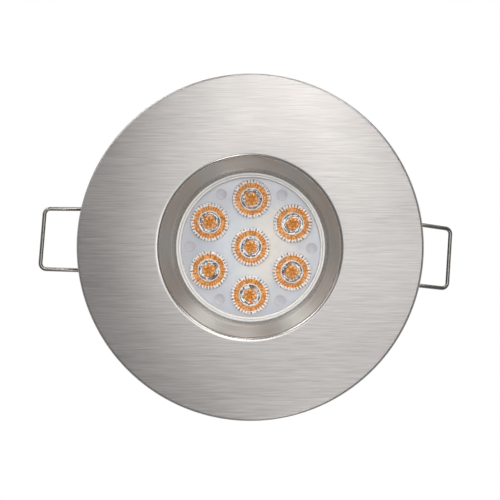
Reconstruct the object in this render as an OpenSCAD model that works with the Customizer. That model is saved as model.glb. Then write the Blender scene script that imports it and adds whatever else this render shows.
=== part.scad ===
// Round recessed soffit downlight with seven lenses, a finned body and two wire spring clips.
// Millimetres. z = 0 is the underside of the soffit board, where the foam gasket seals.
// The light shines towards -Z, the body stands up into the soffit along +Z, the clips open along X.

/* [Flange] */
// How far the round front flange reaches past the spigot
flange_lap = 10.5; // [8:0.5:18]
// Thickness of the flange
flange_t = 3; // [2.4:0.1:5]
// Radius of the rounded front edge of the flange
flange_edge_r = 1; // [0.4:0.1:1.2]
// Diameter of the spigot that sits in the soffit cut-out
spigot_d = 89; // [86:0.5:93]
// Height of the spigot above the soffit's underside
spigot_h = 6; // [4:0.5:8]
// Wall of the spigot
spigot_wall = 2; // [1.5:0.1:2.5]
// Step round the foot of the spigot that centres the foam gasket
spigot_step = 0.5; // [0.2:0.1:1]
// Thickness of the foam gasket
gasket_t = 1.5; // [1:0.1:3]
// Distance from the edge of the flange to the foam gasket
gasket_inset = 2; // [1:0.5:4]

/* [Recess] */
// Diameter of the recess at its mouth
mouth_d = 57.6; // [56:0.2:60]
// Radius of the rounded lip round the mouth
lip_r = 1.1; // [0.5:0.1:1.4]
// Depth of the recess from the face to the inner shelf
recess_depth = 7.9; // [6:0.1:12]
// Width of the inner shelf that carries the light engine
shelf_w = 2.7; // [2.4:0.1:2.9]
// Width of the step at the foot of the recess wall
foot_step = 0.8; // [0.4:0.1:1.2]
// Thickness of the inner shelf
shelf_t = 1.5; // [1:0.1:3]
// Diameter of the pocket that holds the light engine
pocket_d = 53.2; // [52.6:0.1:53.6]
// Wall of the bezel's rear skirt round that pocket
skirt_wall = 5.9; // [5.4:0.1:6.4]
// How far the flat pads for the spring brackets stand out from the skirt
pad_rise = 1.1; // [0.7:0.1:1.7]
// Width of the flat pads
pad_w = 14; // [13.5:0.5:16]

/* [Lens] */
// Width of the white holder round the lens plate
holder_w = 4.05; // [3.95:0.05:4.25]
// Thickness of the lens plate
lens_plate_t = 2.6; // [2.2:0.1:3.4]
// Width of the rim that holds the lens plate in its holder
lens_rim_w = 1.3; // [0.9:0.1:1.4]
// Thickness of that rim
lens_rim_t = 1; // [0.8:0.1:1.4]
// Number of lenses round the middle one
ring_lenses = 6; // [4:1:6]
// Distance from a lens collar to the edge of the lens plate's face
lens_edge = 0.3; // [0.1:0.1:1.1]
// Outer diameter of one lens collar
lens_d = 13.4; // [12:0.1:13.8]
// Inner diameter of the collar
collar_in_d = 11.3; // [10:0.1:11.6]
// Height of the collar above the lens plate
collar_h = 0.4; // [0.2:0.1:0.6]
// Diameter of the round pocket in the middle of a lens
eye_d = 7.8; // [6:0.1:9]
// Depth of that pocket
eye_depth = 0.8; // [0.3:0.1:1.2]
// Diameter of the small raised centre of a lens
centre_d = 3.8; // [2:0.1:4.4]
// Length of a lens from the plate's face to the LED end
lens_len = 8; // [7:0.1:11]
// Diameter of a lens at the LED end
lens_tail_d = 6; // [5.4:0.1:7]
// Diameter of the hollow over the LED
led_hollow_d = 4.2; // [3.6:0.1:4.6]
// Depth of the hollow over the LED
led_hollow_depth = 2.6; // [1.8:0.1:3]
// Distance from the middle of a foot to the edge of the lens plate's face
foot_inset = 3.2; // [2.6:0.1:3.8]
// Diameter of one foot
foot_d = 3.6; // [2.6:0.1:4]
// Width of the holder's thin rim that shows round the lens plate
holder_rim_w = 0.7; // [0.4:0.1:0.9]
// Thickness of the lens gasket
lens_gasket_t = 1.5; // [1:0.1:2]
// Turn of the light engine about the axis, in degrees
engine_turn = -1.4; // [-5:0.1:5]

/* [LED board] */
// Thickness of the LED board
board_t = 1.6; // [1:0.1:2]
// Space between the lenses and the LED board
led_gap = 1; // [0.95:0.05:1.4]
// Side of one square LED package
package_side = 3.45; // [3:0.05:3.8]
// Height of one LED package
package_h = 0.9; // [0.6:0.05:0.9]
// Diameter of the dome on an LED package
dome_d = 2.6; // [2:0.1:3.2]
// Thickness of the thermal pad
thermal_pad_t = 0.4; // [0.3:0.1:1]
// Radius of the circle for the board screws and the lead opening
board_fix_r = 8.3; // [8:0.1:8.8]
// Diameter of the two insulated leads
lead_d = 1.6; // [1.2:0.1:1.8]
// Distance between the two leads
lead_gap = 2.8; // [2.4:0.1:3.2]
// Diameter of the passage for the leads
passage_d = 6.4; // [6:0.1:6.8]

/* [Heat sink] */
// Thickness of the heat sink's base plate
sink_plate_t = 4; // [3:0.5:6]
// Diameter of the heat sink's core
core_d = 30; // [29:0.5:34]
// Height of the fins
fin_h = 24; // [22:1:34]
// Thickness of one fin
fin_t = 1.6; // [1.2:0.1:1.8]
// Number of fins
fin_count = 24; // [16:8:24]
// Height of the pad for the spring bracket above the base plate
bracket_pad_h = 10.5; // [10:0.5:14]
// Height of the flat seal between bezel and heat sink
body_seal_t = 1; // [0.8:0.1:1.5]
// Width of that seal
body_seal_w = 1.4; // [1:0.1:1.6]

/* [Spring clips] */
// Diameter of the spring wire
wire_d = 1.3; // [1:0.1:1.3]
// Mean radius of the spring coils
coil_r = 2.8; // [2.6:0.1:3.2]
// Full turns in one coil
coil_turns = 2; // [1:1:2]
// Distance between neighbouring turns
coil_pitch = 1.8; // [1.76:0.01:1.84]
// Distance between the two arms of a clip at its coils
arm_gap = 20.3; // [20:0.1:22]
// Distance between the two arms at the end bar
bar_gap = 19.6; // [18.5:0.1:20]
// Length of a clip's arms
arm_len = 29.3; // [24:0.1:32]
// Radius of the bends beside the end bar
bend_r = 1.9; // [1.4:0.1:3]
// Distance of the clip pivots from the face of their bracket
pivot_reach = 3.7; // [3.4:0.1:4.2]
// Height of the clip pivots above the soffit's underside
pivot_z = 12; // [11.5:0.1:13]
// Upward slant of the right clip at rest, in degrees
right_slant = 22; // [-10:1:40]
// Upward slant of the left clip at rest, in degrees
left_slant = -5; // [-10:1:40]
// Sideways play that the right clip has taken up on its pin
right_play = -1.2; // [-1.2:0.1:1.2]
// Sideways play that the left clip has taken up on its pin
left_play = -0.5; // [-1.2:0.1:1.2]
// Sideways run of the right clip's arms over their length
right_run = 2.3; // [-3:0.1:3]
// Sideways run of the left clip's arms over their length
left_run = 0.6; // [-3:0.1:3]
// How much further out the right end bar reaches at its +Y end
right_lean = -0.4; // [-1:0.1:1]
// How much further out the left end bar reaches at its +Y end
left_lean = 0.8; // [-1:0.1:1]
// Lowest point of the springs' fixed legs
leg_z = 5; // [4.5:0.1:7]
// Diameter of the pivot pins
pin_d = 3.4; // [3:0.1:3.6]
// Diameter of the heads on the pivot pins
pin_head_d = 5.2; // [4.8:0.1:5.6]
// Thickness of the heads on the pivot pins
pin_head_t = 1; // [0.8:0.1:1.5]

/* [Spring brackets] */
// Thickness of the bracket sheet
sheet_t = 1.2; // [1:0.1:1.3]
// Width of a bracket
bracket_w = 13; // [12.5:0.1:13.4]
// Lower edge of a bracket above the soffit's underside
bracket_z = 3.5; // [3:0.1:4.2]
// Distance between the two ears of a bracket
ear_gap = 5.4; // [4:0.1:5.6]
// Radius of the rounded end of an ear
ear_r = 3; // [2.8:0.1:3.1]
// Height of an ear where it leaves the bracket
ear_root = 11; // [8:0.5:12]
// Height of the bracket screws above the pivots
bracket_screw_rise = 11.6; // [11:0.1:12]

/* [Driver] */
// Outer diameter of the driver housing
housing_d = 54; // [53:0.5:58]
// Wall of the driver housing
housing_wall = 2; // [1.6:0.1:2.2]
// Height of the driver housing
housing_h = 23.2; // [22.5:0.1:30]
// Thickness of the driver board
pcb_t = 1.6; // [1:0.1:2]
// Height of the feet under the driver board
standoff_h = 3; // [2.5:0.1:3.5]
// Thickness of the rear cover
cover_t = 3; // [2.5:0.1:4]
// Thickness of the seal under the rear cover
cover_seal_t = 0.8; // [0.6:0.1:1.2]
// Distance from the housing's inner wall to the cover screws
cover_fix_inset = 2.6; // [2.4:0.1:3]

/* [Cable gland] */
// Diameter of the cable that the gland seals on
cable_d = 7; // [5:0.1:7.6]
// Diameter of the passage through the gland
gland_bore_d = 8.4; // [8:0.1:8.8]
// Diameter of the gland's threads
gland_thread_d = 11.8; // [11.6:0.1:12.4]
// Width of the gland's hexagons across their corners
gland_hex_d = 17; // [16:0.1:19]
// Height of the gland's fixed hexagon
gland_hex_h = 4; // [3:0.5:6]
// Length of the rubber seal in the gland
gland_seal_h = 8; // [6:0.5:10]
// Height of the gland's cap nut
gland_nut_h = 12; // [12:0.5:16]

/* [Fasteners] */
// Diameter of the machine screws
screw_d = 2.9; // [2.6:0.1:3]
// Diameter of their heads
screw_head_d = 5.2; // [4.8:0.1:5.4]
// Height of their heads
screw_head_h = 2; // [1.6:0.1:2.2]
// Diameter of the small screws of the boards
small_screw_d = 2.2; // [2:0.1:2.4]
// Diameter of the small screw heads
small_head_d = 4; // [3.6:0.1:4.4]
// Height of the small screw heads
small_head_h = 1.4; // [1:0.1:1.6]

/* [Hidden] */
$fn = 96;
eps = 0.01;
slip = 0.1;        // radial room of a part that slides into another
hole_room = 0.25;  // radial room of a screw in its clearance hole
thread_room = 0.02; // radial room between a screw and its tapped hole
optic_drop = 0.9;  // from the lens plate's face to the holder's shoulder
holder_drop = 0.2; // how far the holder's rim stands in front of its seat
tail_step = 0.8;   // how much narrower a lens is behind the plate than its collar

// Heights along the axis, from the face upwards
face_z = -gasket_t - flange_t;
flange_z = -gasket_t;
shelf_z = face_z + recess_depth;
seat_z = shelf_z + shelf_t;
shoulder_z = seat_z + lens_gasket_t;
optic_z = shoulder_z - optic_drop;
optic_back_z = optic_z + lens_plate_t;
lens_tail_z = optic_z + lens_len;
board_z = lens_tail_z + led_gap;
board_back_z = board_z + board_t;
sink_z = board_back_z + thermal_pad_t;
fin_z = sink_z + sink_plate_t;
housing_z = fin_z + fin_h;
floor_z = housing_z + housing_wall;
pcb_z = floor_z + standoff_h;
pcb_top_z = pcb_z + pcb_t;
rim_z = housing_z + housing_h;
cover_z = rim_z + cover_seal_t;
cover_top_z = cover_z + cover_t;

// Radii
spigot_r = spigot_d / 2;
flange_r = spigot_r + flange_lap;
step_r = spigot_r + spigot_step;
mouth_r = mouth_d / 2;
pocket_r = pocket_d / 2;
aperture_r = pocket_r - shelf_w;
skirt_r = pocket_r + skirt_wall;
pad_x = skirt_r + pad_rise;
plate_x = pad_x + sheet_t;
pivot_x = plate_x + pivot_reach;
seal_r = pocket_r + body_seal_w + slip;
board_r = pocket_r - 3 * slip;
core_r = core_d / 2;
fin_r = skirt_r - slip;
holder_out_r = pocket_r - 2 * slip;
holder_in_r = holder_out_r - holder_w;
holder_rim_r = holder_in_r + holder_rim_w;
lens_face_r = holder_in_r - 1.5 * slip;
lens_rim_r = lens_face_r + lens_rim_w;
lens_pitch_r = lens_face_r - lens_edge - lens_d / 2;
foot_pitch_r = lens_face_r - foot_inset;
housing_r = housing_d / 2;
housing_in_r = housing_r - housing_wall;
cover_fix_r = housing_in_r - cover_fix_inset;
wire_r = wire_d / 2;
pin_r = pin_d / 2;

// Screw circles and their angles
bezel_fix_shift = 0.2;   // from the middle of the skirt's wall inwards
housing_fix_inset = 4;   // from the edge of the heat sink's core
pcb_fix_inset = 4.6;     // from the housing's inner wall
bezel_fix_r = (seal_r + skirt_r) / 2 - bezel_fix_shift;
bezel_fix_angles = [45, 135, 225, 315];
board_fix_angles = [60, 180, 300];
housing_fix_r = core_r - housing_fix_inset;
housing_fix_angles = [90, 210, 330];
pcb_fix_r = housing_in_r - pcb_fix_inset;
pcb_fix_angles = [30, 150, 270];
cover_fix_angles = [90, 210, 330];
bezel_screw_bite = 8;
board_screw_bite = 5;
housing_screw_bite = 8;
bracket_screw_bite = 7;
cover_screw_bite = 10;
boss_sink = 0.4;       // how far the bosses run into the housing's wall
boss_r = cover_fix_inset + boss_sink;
standoff_r = 2.4;
pad_root = 8;          // from the heat sink's core to the inner end of its bracket pads
cover_seal_lap = 1.5;  // how far the cover seal reaches inside the housing's wall
lens_angles = [for (i = [0 : ring_lenses - 1]) 90 + engine_turn + i * 360 / ring_lenses];
foot_angles = [for (i = [0 : ring_lenses - 1]) lens_angles[i] + 180 / ring_lenses];

// Heights and reaches of the clips and brackets
bracket_edge = 1.2; // sheet above the head of a bracket screw
pin_room = 0.4;     // between a coil and the head of its pin
bracket_screw_z = pivot_z + bracket_screw_rise;
bracket_top_z = bracket_screw_z + screw_head_d / 2 + bracket_edge;
pad_top_z = max(fin_z + bracket_pad_h, bracket_top_z);
arm_y = arm_gap / 2;
bar_y = bar_gap / 2;
wire_reach = arm_y + max(abs(right_play), abs(left_play)) + wire_r;
pin_half = wire_reach + pin_room + pin_head_t;
coil_rings = 8;     // rings of the wire in one turn of a coil
coil_sides = 6;
loop_sides = 10;
bend_steps = 5;

// Sizes of the parts on the driver board
part_gap = 1.5;     // least distance between neighbouring parts
transformer_w = 12;
transformer_l = 13;
transformer_core_t = 3;
transformer_leg_h = 6;
large_cap_d = 8;
large_cap_h = 11;
small_cap_d = 6.3;
small_cap_h = 10;
choke_d = 8;
choke_core_d = 5;
choke_end_t = 1.5;
choke_h = 7.5;
chip_w = 5;
chip_l = 4;
chip_t = 1.6;
terminal_way = 5;
terminal_ways = 3;
terminal_depth = 8;
terminal_h = 9;
terminal_hole_d = 3;
terminal_hole_z = 3;
terminal_back = 2;
terminal_screw_d = 3;
terminal_screw_h = 3;
terminal_screw_z = 4.6;
terminal_screw_y = 5;
transformer_inset = 5.7; // from the housing's inner wall to the transformer
choke_inset = 4;         // from the housing's inner wall to the choke

// Places of the parts on the driver board
terminal_w = terminal_ways * terminal_way;
terminal_y = cover_fix_r - boss_r - part_gap - terminal_depth;
terminal_origin = [-terminal_w / 2, terminal_y, pcb_top_z];
transformer_place = [-housing_in_r + transformer_inset + transformer_w / 2, -part_gap / 2, pcb_top_z];
large_cap_y = -pcb_fix_r + small_head_d / 2 + part_gap + large_cap_d / 2;
choke_place = [housing_in_r - choke_inset - choke_d / 2, -part_gap, pcb_top_z];
chip_place = [terminal_w / 2 + part_gap, choke_d / 2 - part_gap / 2, pcb_top_z];

// Heights and radii of the cable gland
locknut_h = 3;
gland_seal_rise = 1.2; // from the fixed hexagon to the seal
gland_tail_end = 1;    // thread that stands out of the locknut
gland_cup_wall = 1;
gland_nut_gap = 0.6;   // between the fixed hexagon and the cap nut
gland_neck_z = cover_top_z + gland_hex_h;
gland_seal_z = gland_neck_z + gland_seal_rise;
gland_tail = cover_t + locknut_h + gland_tail_end;
gland_neck_r = gland_thread_d / 2;
gland_cup_r = gland_neck_r - gland_cup_wall;

// ---------- helpers ----------

// Copies its children to each angle of a circle
module around(angles, r) {
    for (a = angles) rotate([0, 0, a]) translate([r, 0, 0]) children();
}

// Copies its children to the middle lens and to each lens of the ring
module at_lenses() {
    children();
    around(lens_angles, lens_pitch_r) children();
}

// Flat ring
module ring(r_out, r_in, h) {
    difference() {
        cylinder(r = r_out, h = h);
        translate([0, 0, -eps]) cylinder(r = r_in, h = h + 2 * eps);
    }
}

// Pan head screw, its head above z = 0 and its shank below, with a hexagon socket
module screw(d, bite, head_d, head_h) {
    edge = 0.25 * head_h;
    difference() {
        union() {
            translate([0, 0, -bite]) cylinder(d = d, h = bite + eps);
            cylinder(d = head_d, h = head_h - edge);
            translate([0, 0, head_h - edge]) cylinder(d1 = head_d, d2 = head_d - 2 * edge, h = edge);
        }
        translate([0, 0, 0.4 * head_h]) cylinder(d = 0.5 * head_d, h = head_h, $fn = 6);
    }
}

// The right side as drawn, the left side mirrored
module on_side(side) {
    mirror([side < 0 ? 1 : 0, 0, 0]) children();
}

function unit(v) = v / norm(v);

// Points of a bend of radius r that replaces the corner p between a and b
function bend(a, p, b, r, steps) =
    let (ea = unit(a - p), eb = unit(b - p))
    let (half = acos(ea * eb) / 2, sweep = 180 - 2 * half)
    let (c = p + unit(ea + eb) * r / sin(half))
    let (va = p + ea * r / tan(half) - c, vb = p + eb * r / tan(half) - c)
    [for (k = [0 : steps])
        c + (sin(sweep * (1 - k / steps)) * va + sin(sweep * k / steps) * vb) / sin(sweep)];

function tangent(path, i) =
    unit(path[min(i + 1, len(path) - 1)] - path[max(i - 1, 0)]);

// Round wire along a path. across is a direction that the path never runs along
module wire(path, r, across, sides) {
    n = len(path);
    points = [for (i = [0 : n - 1])
        let (t = tangent(path, i))
        let (u = unit(across - (across * t) * t), v = cross(t, u))
        for (k = [0 : sides - 1]) path[i] + r * (cos(360 * k / sides) * u + sin(360 * k / sides) * v)];
    walls = [for (i = [0 : n - 2], k = [0 : sides - 1])
        let (a = i * sides + k, b = i * sides + (k + 1) % sides)
        each [[a, a + sides, b], [b, a + sides, b + sides]]];
    ends = [for (k = [1 : sides - 2])
        each [[0, k, k + 1], [(n - 1) * sides, (n - 1) * sides + k + 1, (n - 1) * sides + k]]];
    polyhedron(points = points, faces = concat(walls, ends), convexity = 6);
}

// ---------- routes of the spring wire, drawn for the right side ----------

// Angle of wire wound between the fixed leg and the arm
function coil_wrap(slant) = 360 * coil_turns + 90 - slant;

// Sideways place of a coil's inner end
function coil_inner_y(slant) = arm_y - coil_pitch * coil_wrap(slant) / 360;

// Where the wire leaves the coil, on the upper side of the pivot
function coil_exit(slant, play, hand) =
    [pivot_x - coil_r * sin(slant), hand * arm_y + play, pivot_z + coil_r * cos(slant)];

// Sharp corner between an arm and the end bar
function bar_corner(slant, play, run, lean, hand) =
    let (reach = arm_len + hand * lean / 2)
    [pivot_x - coil_r * sin(slant) + reach * cos(slant),
     hand * bar_y + play + run,
     pivot_z + coil_r * cos(slant) + reach * sin(slant)];

// Point one wire diameter along the arm, where the coil's wire hands over to the clip
function arm_start(slant, play, run, lean, hand) =
    let (from = coil_exit(slant, play, hand), to = bar_corner(slant, play, run, lean, hand))
    from + wire_d * unit(to - from);

// Fixed leg, coil and first stretch of the arm
function coil_route(slant, play, run, lean, hand) =
    let (wrap = coil_wrap(slant), steps = ceil(wrap / 360 * coil_rings))
    let (inner_y = coil_inner_y(slant))
    concat(
        [[pivot_x - coil_r, hand * inner_y + play, leg_z],
         [pivot_x - coil_r, hand * inner_y + play, pivot_z - wire_d]],
        [for (k = [0 : steps])
            let (phi = 180 - wrap * k / steps)
            [pivot_x + coil_r * cos(phi),
             hand * (inner_y + (arm_y - inner_y) * k / steps) + play,
             pivot_z + coil_r * sin(phi)]],
        [arm_start(slant, play, run, lean, hand)]);

// The open loop: arm, bend, end bar, bend, arm
function loop_route(slant, play, run, lean) =
    let (a = arm_start(slant, play, run, lean, 1), d = arm_start(slant, play, run, lean, -1))
    let (b = bar_corner(slant, play, run, lean, 1), c = bar_corner(slant, play, run, lean, -1))
    concat([a], bend(a, b, c, bend_r, bend_steps), bend(b, c, d, bend_r, bend_steps), [d]);

// Least gap between neighbouring turns, measured on points at least half a turn apart
function least_gap(route) =
    let (last = len(route) - 1)
    min([for (i = [2 : last - coil_rings], j = [i + coil_rings / 2 + 1 : last])
        norm(route[i] - route[j])]) - wire_d;

for (hand = [-1, 1]) {
    echo(right_coil_least_gap = least_gap(coil_route(right_slant, right_play, right_run, right_lean, hand)));
    echo(left_coil_least_gap = least_gap(coil_route(left_slant, left_play, left_run, left_lean, hand)));
}

// ---------- front ----------

// Section of the bezel, radius to the right and height upwards
module bezel_section() {
    polygon([
        [mouth_r + lip_r, face_z], [flange_r - flange_edge_r, face_z],
        [flange_r - flange_edge_r, face_z + flange_edge_r], [flange_r, face_z + flange_edge_r],
        [flange_r, flange_z], [step_r, flange_z], [step_r, 0], [spigot_r, 0],
        [spigot_r, spigot_h], [spigot_r - spigot_wall, spigot_h], [spigot_r - spigot_wall, flange_z],
        [skirt_r, flange_z], [skirt_r, sink_z], [seal_r, sink_z], [seal_r, sink_z - body_seal_t],
        [pocket_r, sink_z - body_seal_t], [pocket_r, seat_z], [aperture_r, seat_z],
        [aperture_r, shelf_z], [aperture_r + foot_step, shelf_z],
        [mouth_r, face_z + lip_r], [mouth_r + lip_r, face_z + lip_r]
    ]);
    translate([flange_r - flange_edge_r, face_z + flange_edge_r]) circle(r = flange_edge_r);
    translate([mouth_r + lip_r, face_z + lip_r]) circle(r = lip_r);
}

module front_bezel() {
    color("silver")
    difference() {
        union() {
            rotate_extrude() bezel_section();
            for (side = [-1, 1]) on_side(side)
                translate([skirt_r - 2, -pad_w / 2, flange_z])
                cube([pad_x - skirt_r + 2, pad_w, sink_z - flange_z]);
        }
        translate([0, 0, sink_z - bezel_screw_bite - 1])
            around(bezel_fix_angles, bezel_fix_r)
            cylinder(r = screw_d / 2 + thread_room, h = bezel_screw_bite + 2);
    }
}

module ceiling_gasket() {
    color("dimgray")
    translate([0, 0, flange_z]) ring(flange_r - gasket_inset, step_r + slip, gasket_t);
}

module lens_gasket() {
    color("white")
    translate([0, 0, seat_z]) ring(holder_out_r, holder_rim_r + slip, lens_gasket_t);
}

module lens_holder() {
    rim_front_z = seat_z - holder_drop;
    groove_r = lens_rim_r + 1.5 * slip;
    groove_z = optic_back_z - lens_rim_t;
    color("ivory")
    rotate_extrude() polygon([
        [holder_in_r, rim_front_z], [holder_rim_r, rim_front_z], [holder_rim_r, shoulder_z],
        [holder_out_r, shoulder_z], [holder_out_r, board_z], [groove_r, board_z],
        [groove_r, groove_z], [holder_in_r, groove_z]
    ]);
}

// Everything that one lens adds to the plate
module lens_body() {
    translate([0, 0, optic_z - collar_h]) ring(lens_d / 2, collar_in_d / 2, collar_h + eps);
    translate([0, 0, optic_back_z - eps])
        cylinder(d1 = lens_d - tail_step, d2 = lens_tail_d, h = lens_tail_z - optic_back_z + eps);
}

// Everything that one lens takes out of the plate
module lens_hollows() {
    translate([0, 0, optic_z - eps]) ring(eye_d / 2, centre_d / 2, eye_depth + eps);
    translate([0, 0, lens_tail_z - led_hollow_depth]) cylinder(d = led_hollow_d, h = led_hollow_depth + eps);
}

module lens_plate() {
    color("lightsteelblue", 0.6)
    difference() {
        union() {
            translate([0, 0, optic_z]) cylinder(r = lens_face_r, h = lens_plate_t);
            translate([0, 0, optic_back_z - lens_rim_t]) cylinder(r = lens_rim_r, h = lens_rim_t);
            at_lenses() lens_body();
            translate([0, 0, optic_back_z - eps])
                around(foot_angles, foot_pitch_r)
                cylinder(d = foot_d, h = board_z - optic_back_z + eps);
        }
        at_lenses() lens_hollows();
    }
}

// ---------- light engine ----------

// Clearance holes through the LED board or the thermal pad
module board_holes(h) {
    translate([0, 0, -eps]) {
        around([for (a = board_fix_angles) a + engine_turn], board_fix_r)
            cylinder(r = small_screw_d / 2 + hole_room, h = h + 2 * eps);
    }
}

// The two leads, or the holes for them when they are made thicker
module lead_pair(d, h) {
    rotate([0, 0, engine_turn]) for (y = [-1, 1])
        translate([board_fix_r, y * lead_gap / 2, 0]) cylinder(d = d, h = h);
}

// The wide opening that both leads pass through
module lead_passage(h) {
    rotate([0, 0, engine_turn]) translate([board_fix_r, 0, -eps]) cylinder(d = passage_d, h = h + 2 * eps);
}

module led_board() {
    color("whitesmoke")
    translate([0, 0, board_z]) difference() {
        cylinder(r = board_r, h = board_t);
        board_holes(board_t);
        translate([0, 0, -eps]) lead_pair(lead_d + 2 * slip, board_t + 2 * eps);
    }
}

module led_packages() {
    color("ivory")
    translate([0, 0, board_z - package_h / 2]) at_lenses()
        cube([package_side, package_side, package_h], center = true);
}

module led_domes() {
    color("orange")
    translate([0, 0, board_z - package_h]) at_lenses() difference() {
        sphere(d = dome_d);
        cylinder(d = dome_d + 1, h = dome_d);
    }
}

module board_screws() {
    color("gainsboro")
    translate([0, 0, board_z])
        around([for (a = board_fix_angles) a + engine_turn], board_fix_r)
        mirror([0, 0, 1])
        screw(small_screw_d, board_t + thermal_pad_t + board_screw_bite, small_head_d, small_head_h);
}

module thermal_pad() {
    color("slategray")
    translate([0, 0, board_back_z]) difference() {
        cylinder(r = board_r, h = thermal_pad_t);
        board_holes(thermal_pad_t);
        lead_passage(thermal_pad_t);
    }
}

module led_leads() {
    color("firebrick")
    translate([0, 0, board_z - 0.5]) lead_pair(lead_d, pcb_top_z + 1.2 - board_z);
}

// ---------- heat sink ----------

module body_seal() {
    color("black")
    translate([0, 0, sink_z - body_seal_t]) ring(seal_r - slip, pocket_r + slip, body_seal_t);
}

module fins() {
    for (i = [0 : fin_count - 1]) rotate([0, 0, (i + 0.5) * 360 / fin_count])
        translate([core_r - 1, -fin_t / 2, fin_z - 1]) cube([fin_r - core_r + 1, fin_t, fin_h + 1]);
}

module heat_sink() {
    color("darkgray")
    difference() {
        union() {
            translate([0, 0, sink_z]) cylinder(r = skirt_r, h = sink_plate_t);
            translate([0, 0, sink_z]) cylinder(r = core_r, h = sink_plate_t + fin_h);
            fins();
            for (side = [-1, 1]) on_side(side)
                translate([core_r + pad_root, -pad_w / 2, sink_z])
                cube([pad_x - core_r - pad_root, pad_w, pad_top_z - sink_z]);
        }
        translate([0, 0, sink_z]) lead_passage(sink_plate_t + fin_h);
        translate([0, 0, sink_z - eps])
            around([for (a = board_fix_angles) a + engine_turn], board_fix_r)
            cylinder(r = small_screw_d / 2 + thread_room, h = board_screw_bite + 1);
        translate([0, 0, sink_z - eps])
            around(bezel_fix_angles, bezel_fix_r)
            cylinder(r = screw_d / 2 + hole_room, h = sink_plate_t + 2 * eps);
        translate([0, 0, housing_z - housing_screw_bite - 1])
            around(housing_fix_angles, housing_fix_r)
            cylinder(r = small_screw_d / 2 + thread_room, h = housing_screw_bite + 2);
        for (side = [-1, 1]) on_side(side)
            translate([pad_x - bracket_screw_bite - 1, 0, bracket_screw_z]) rotate([0, 90, 0])
            cylinder(r = screw_d / 2 + thread_room, h = bracket_screw_bite + 2);
    }
}

module bezel_screws() {
    color("gainsboro")
    translate([0, 0, fin_z])
        around(bezel_fix_angles, bezel_fix_r)
        screw(screw_d, sink_plate_t + bezel_screw_bite, screw_head_d, screw_head_h);
}

// ---------- spring brackets and clips ----------

// Side view of one ear, x to the right and z upwards
module ear_section() {
    difference() {
        union() {
            polygon([[pad_x, pivot_z - ear_root / 2], [pivot_x, pivot_z - ear_r],
                     [pivot_x, pivot_z + ear_r], [pad_x, pivot_z + ear_root / 2]]);
            translate([pivot_x, pivot_z]) circle(r = ear_r);
        }
        translate([pivot_x, pivot_z]) circle(r = pin_r + slip / 2);
    }
}

module bracket(side) {
    color("lightgray")
    on_side(side) difference() {
        union() {
            translate([pad_x, -bracket_w / 2, bracket_z])
                cube([sheet_t, bracket_w, bracket_top_z - bracket_z]);
            for (y = [-ear_gap / 2, ear_gap / 2 + sheet_t]) translate([0, y, 0])
                rotate([90, 0, 0]) linear_extrude(height = sheet_t) ear_section();
        }
        translate([pad_x - 1, 0, bracket_screw_z]) rotate([0, 90, 0])
            cylinder(r = screw_d / 2 + hole_room, h = sheet_t + 2);
    }
}

module bracket_right() {
    bracket(1);
}

module bracket_left() {
    bracket(-1);
}

module bracket_screws() {
    color("gainsboro")
    for (side = [-1, 1]) on_side(side)
        translate([plate_x, 0, bracket_screw_z]) rotate([0, 90, 0])
        screw(screw_d, sheet_t + bracket_screw_bite, screw_head_d, screw_head_h);
}

module pivot_pin(side) {
    color("gainsboro")
    on_side(side) translate([pivot_x, 0, pivot_z]) rotate([90, 0, 0]) {
        cylinder(r = pin_r, h = 2 * pin_half, center = true);
        for (end = [-1, 1]) translate([0, 0, end * (pin_half - pin_head_t / 2)])
            cylinder(d = pin_head_d, h = pin_head_t, center = true);
    }
}

module pivot_pin_right() {
    pivot_pin(1);
}

module pivot_pin_left() {
    pivot_pin(-1);
}

module spring_clip(slant, play, run, lean) {
    normal = [-sin(slant), 0, cos(slant)];
    color("gray") wire(loop_route(slant, play, run, lean), wire_r, normal, loop_sides);
}

module spring_coils(slant, play, run, lean) {
    for (hand = [-1, 1])
        color("gray") wire(coil_route(slant, play, run, lean, hand), wire_r, [0, 1, 0], coil_sides);
}

module spring_clip_right() {
    spring_clip(right_slant, right_play, right_run, right_lean);
}

module spring_clip_left() {
    on_side(-1) spring_clip(left_slant, left_play, left_run, left_lean);
}

module spring_coil_right() {
    spring_coils(right_slant, right_play, right_run, right_lean);
}

module spring_coil_left() {
    on_side(-1) spring_coils(left_slant, left_play, left_run, left_lean);
}

// ---------- driver ----------

module driver_housing() {
    color("whitesmoke")
    difference() {
        union() {
            translate([0, 0, housing_z]) difference() {
                cylinder(r = housing_r, h = housing_h);
                translate([0, 0, housing_wall]) cylinder(r = housing_in_r, h = housing_h);
            }
            translate([0, 0, floor_z - eps])
                around(pcb_fix_angles, pcb_fix_r)
                cylinder(r = standoff_r, h = standoff_h + eps);
            translate([0, 0, floor_z - eps])
                around(cover_fix_angles, cover_fix_r)
                cylinder(r = boss_r, h = rim_z - floor_z + eps);
        }
        translate([0, 0, housing_z]) lead_passage(housing_wall);
        translate([0, 0, housing_z - eps])
            around(housing_fix_angles, housing_fix_r)
            cylinder(r = small_screw_d / 2 + hole_room, h = housing_wall + 2 * eps);
        translate([0, 0, floor_z + 0.5])
            around(pcb_fix_angles, pcb_fix_r)
            cylinder(r = small_screw_d / 2 + thread_room, h = standoff_h);
        translate([0, 0, rim_z - cover_screw_bite - 1])
            around(cover_fix_angles, cover_fix_r)
            cylinder(r = small_screw_d / 2 + thread_room, h = cover_screw_bite + 2);
    }
}

module housing_screws() {
    color("gainsboro")
    translate([0, 0, floor_z])
        around(housing_fix_angles, housing_fix_r)
        screw(small_screw_d, housing_wall + housing_screw_bite, small_head_d, small_head_h);
}

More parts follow.
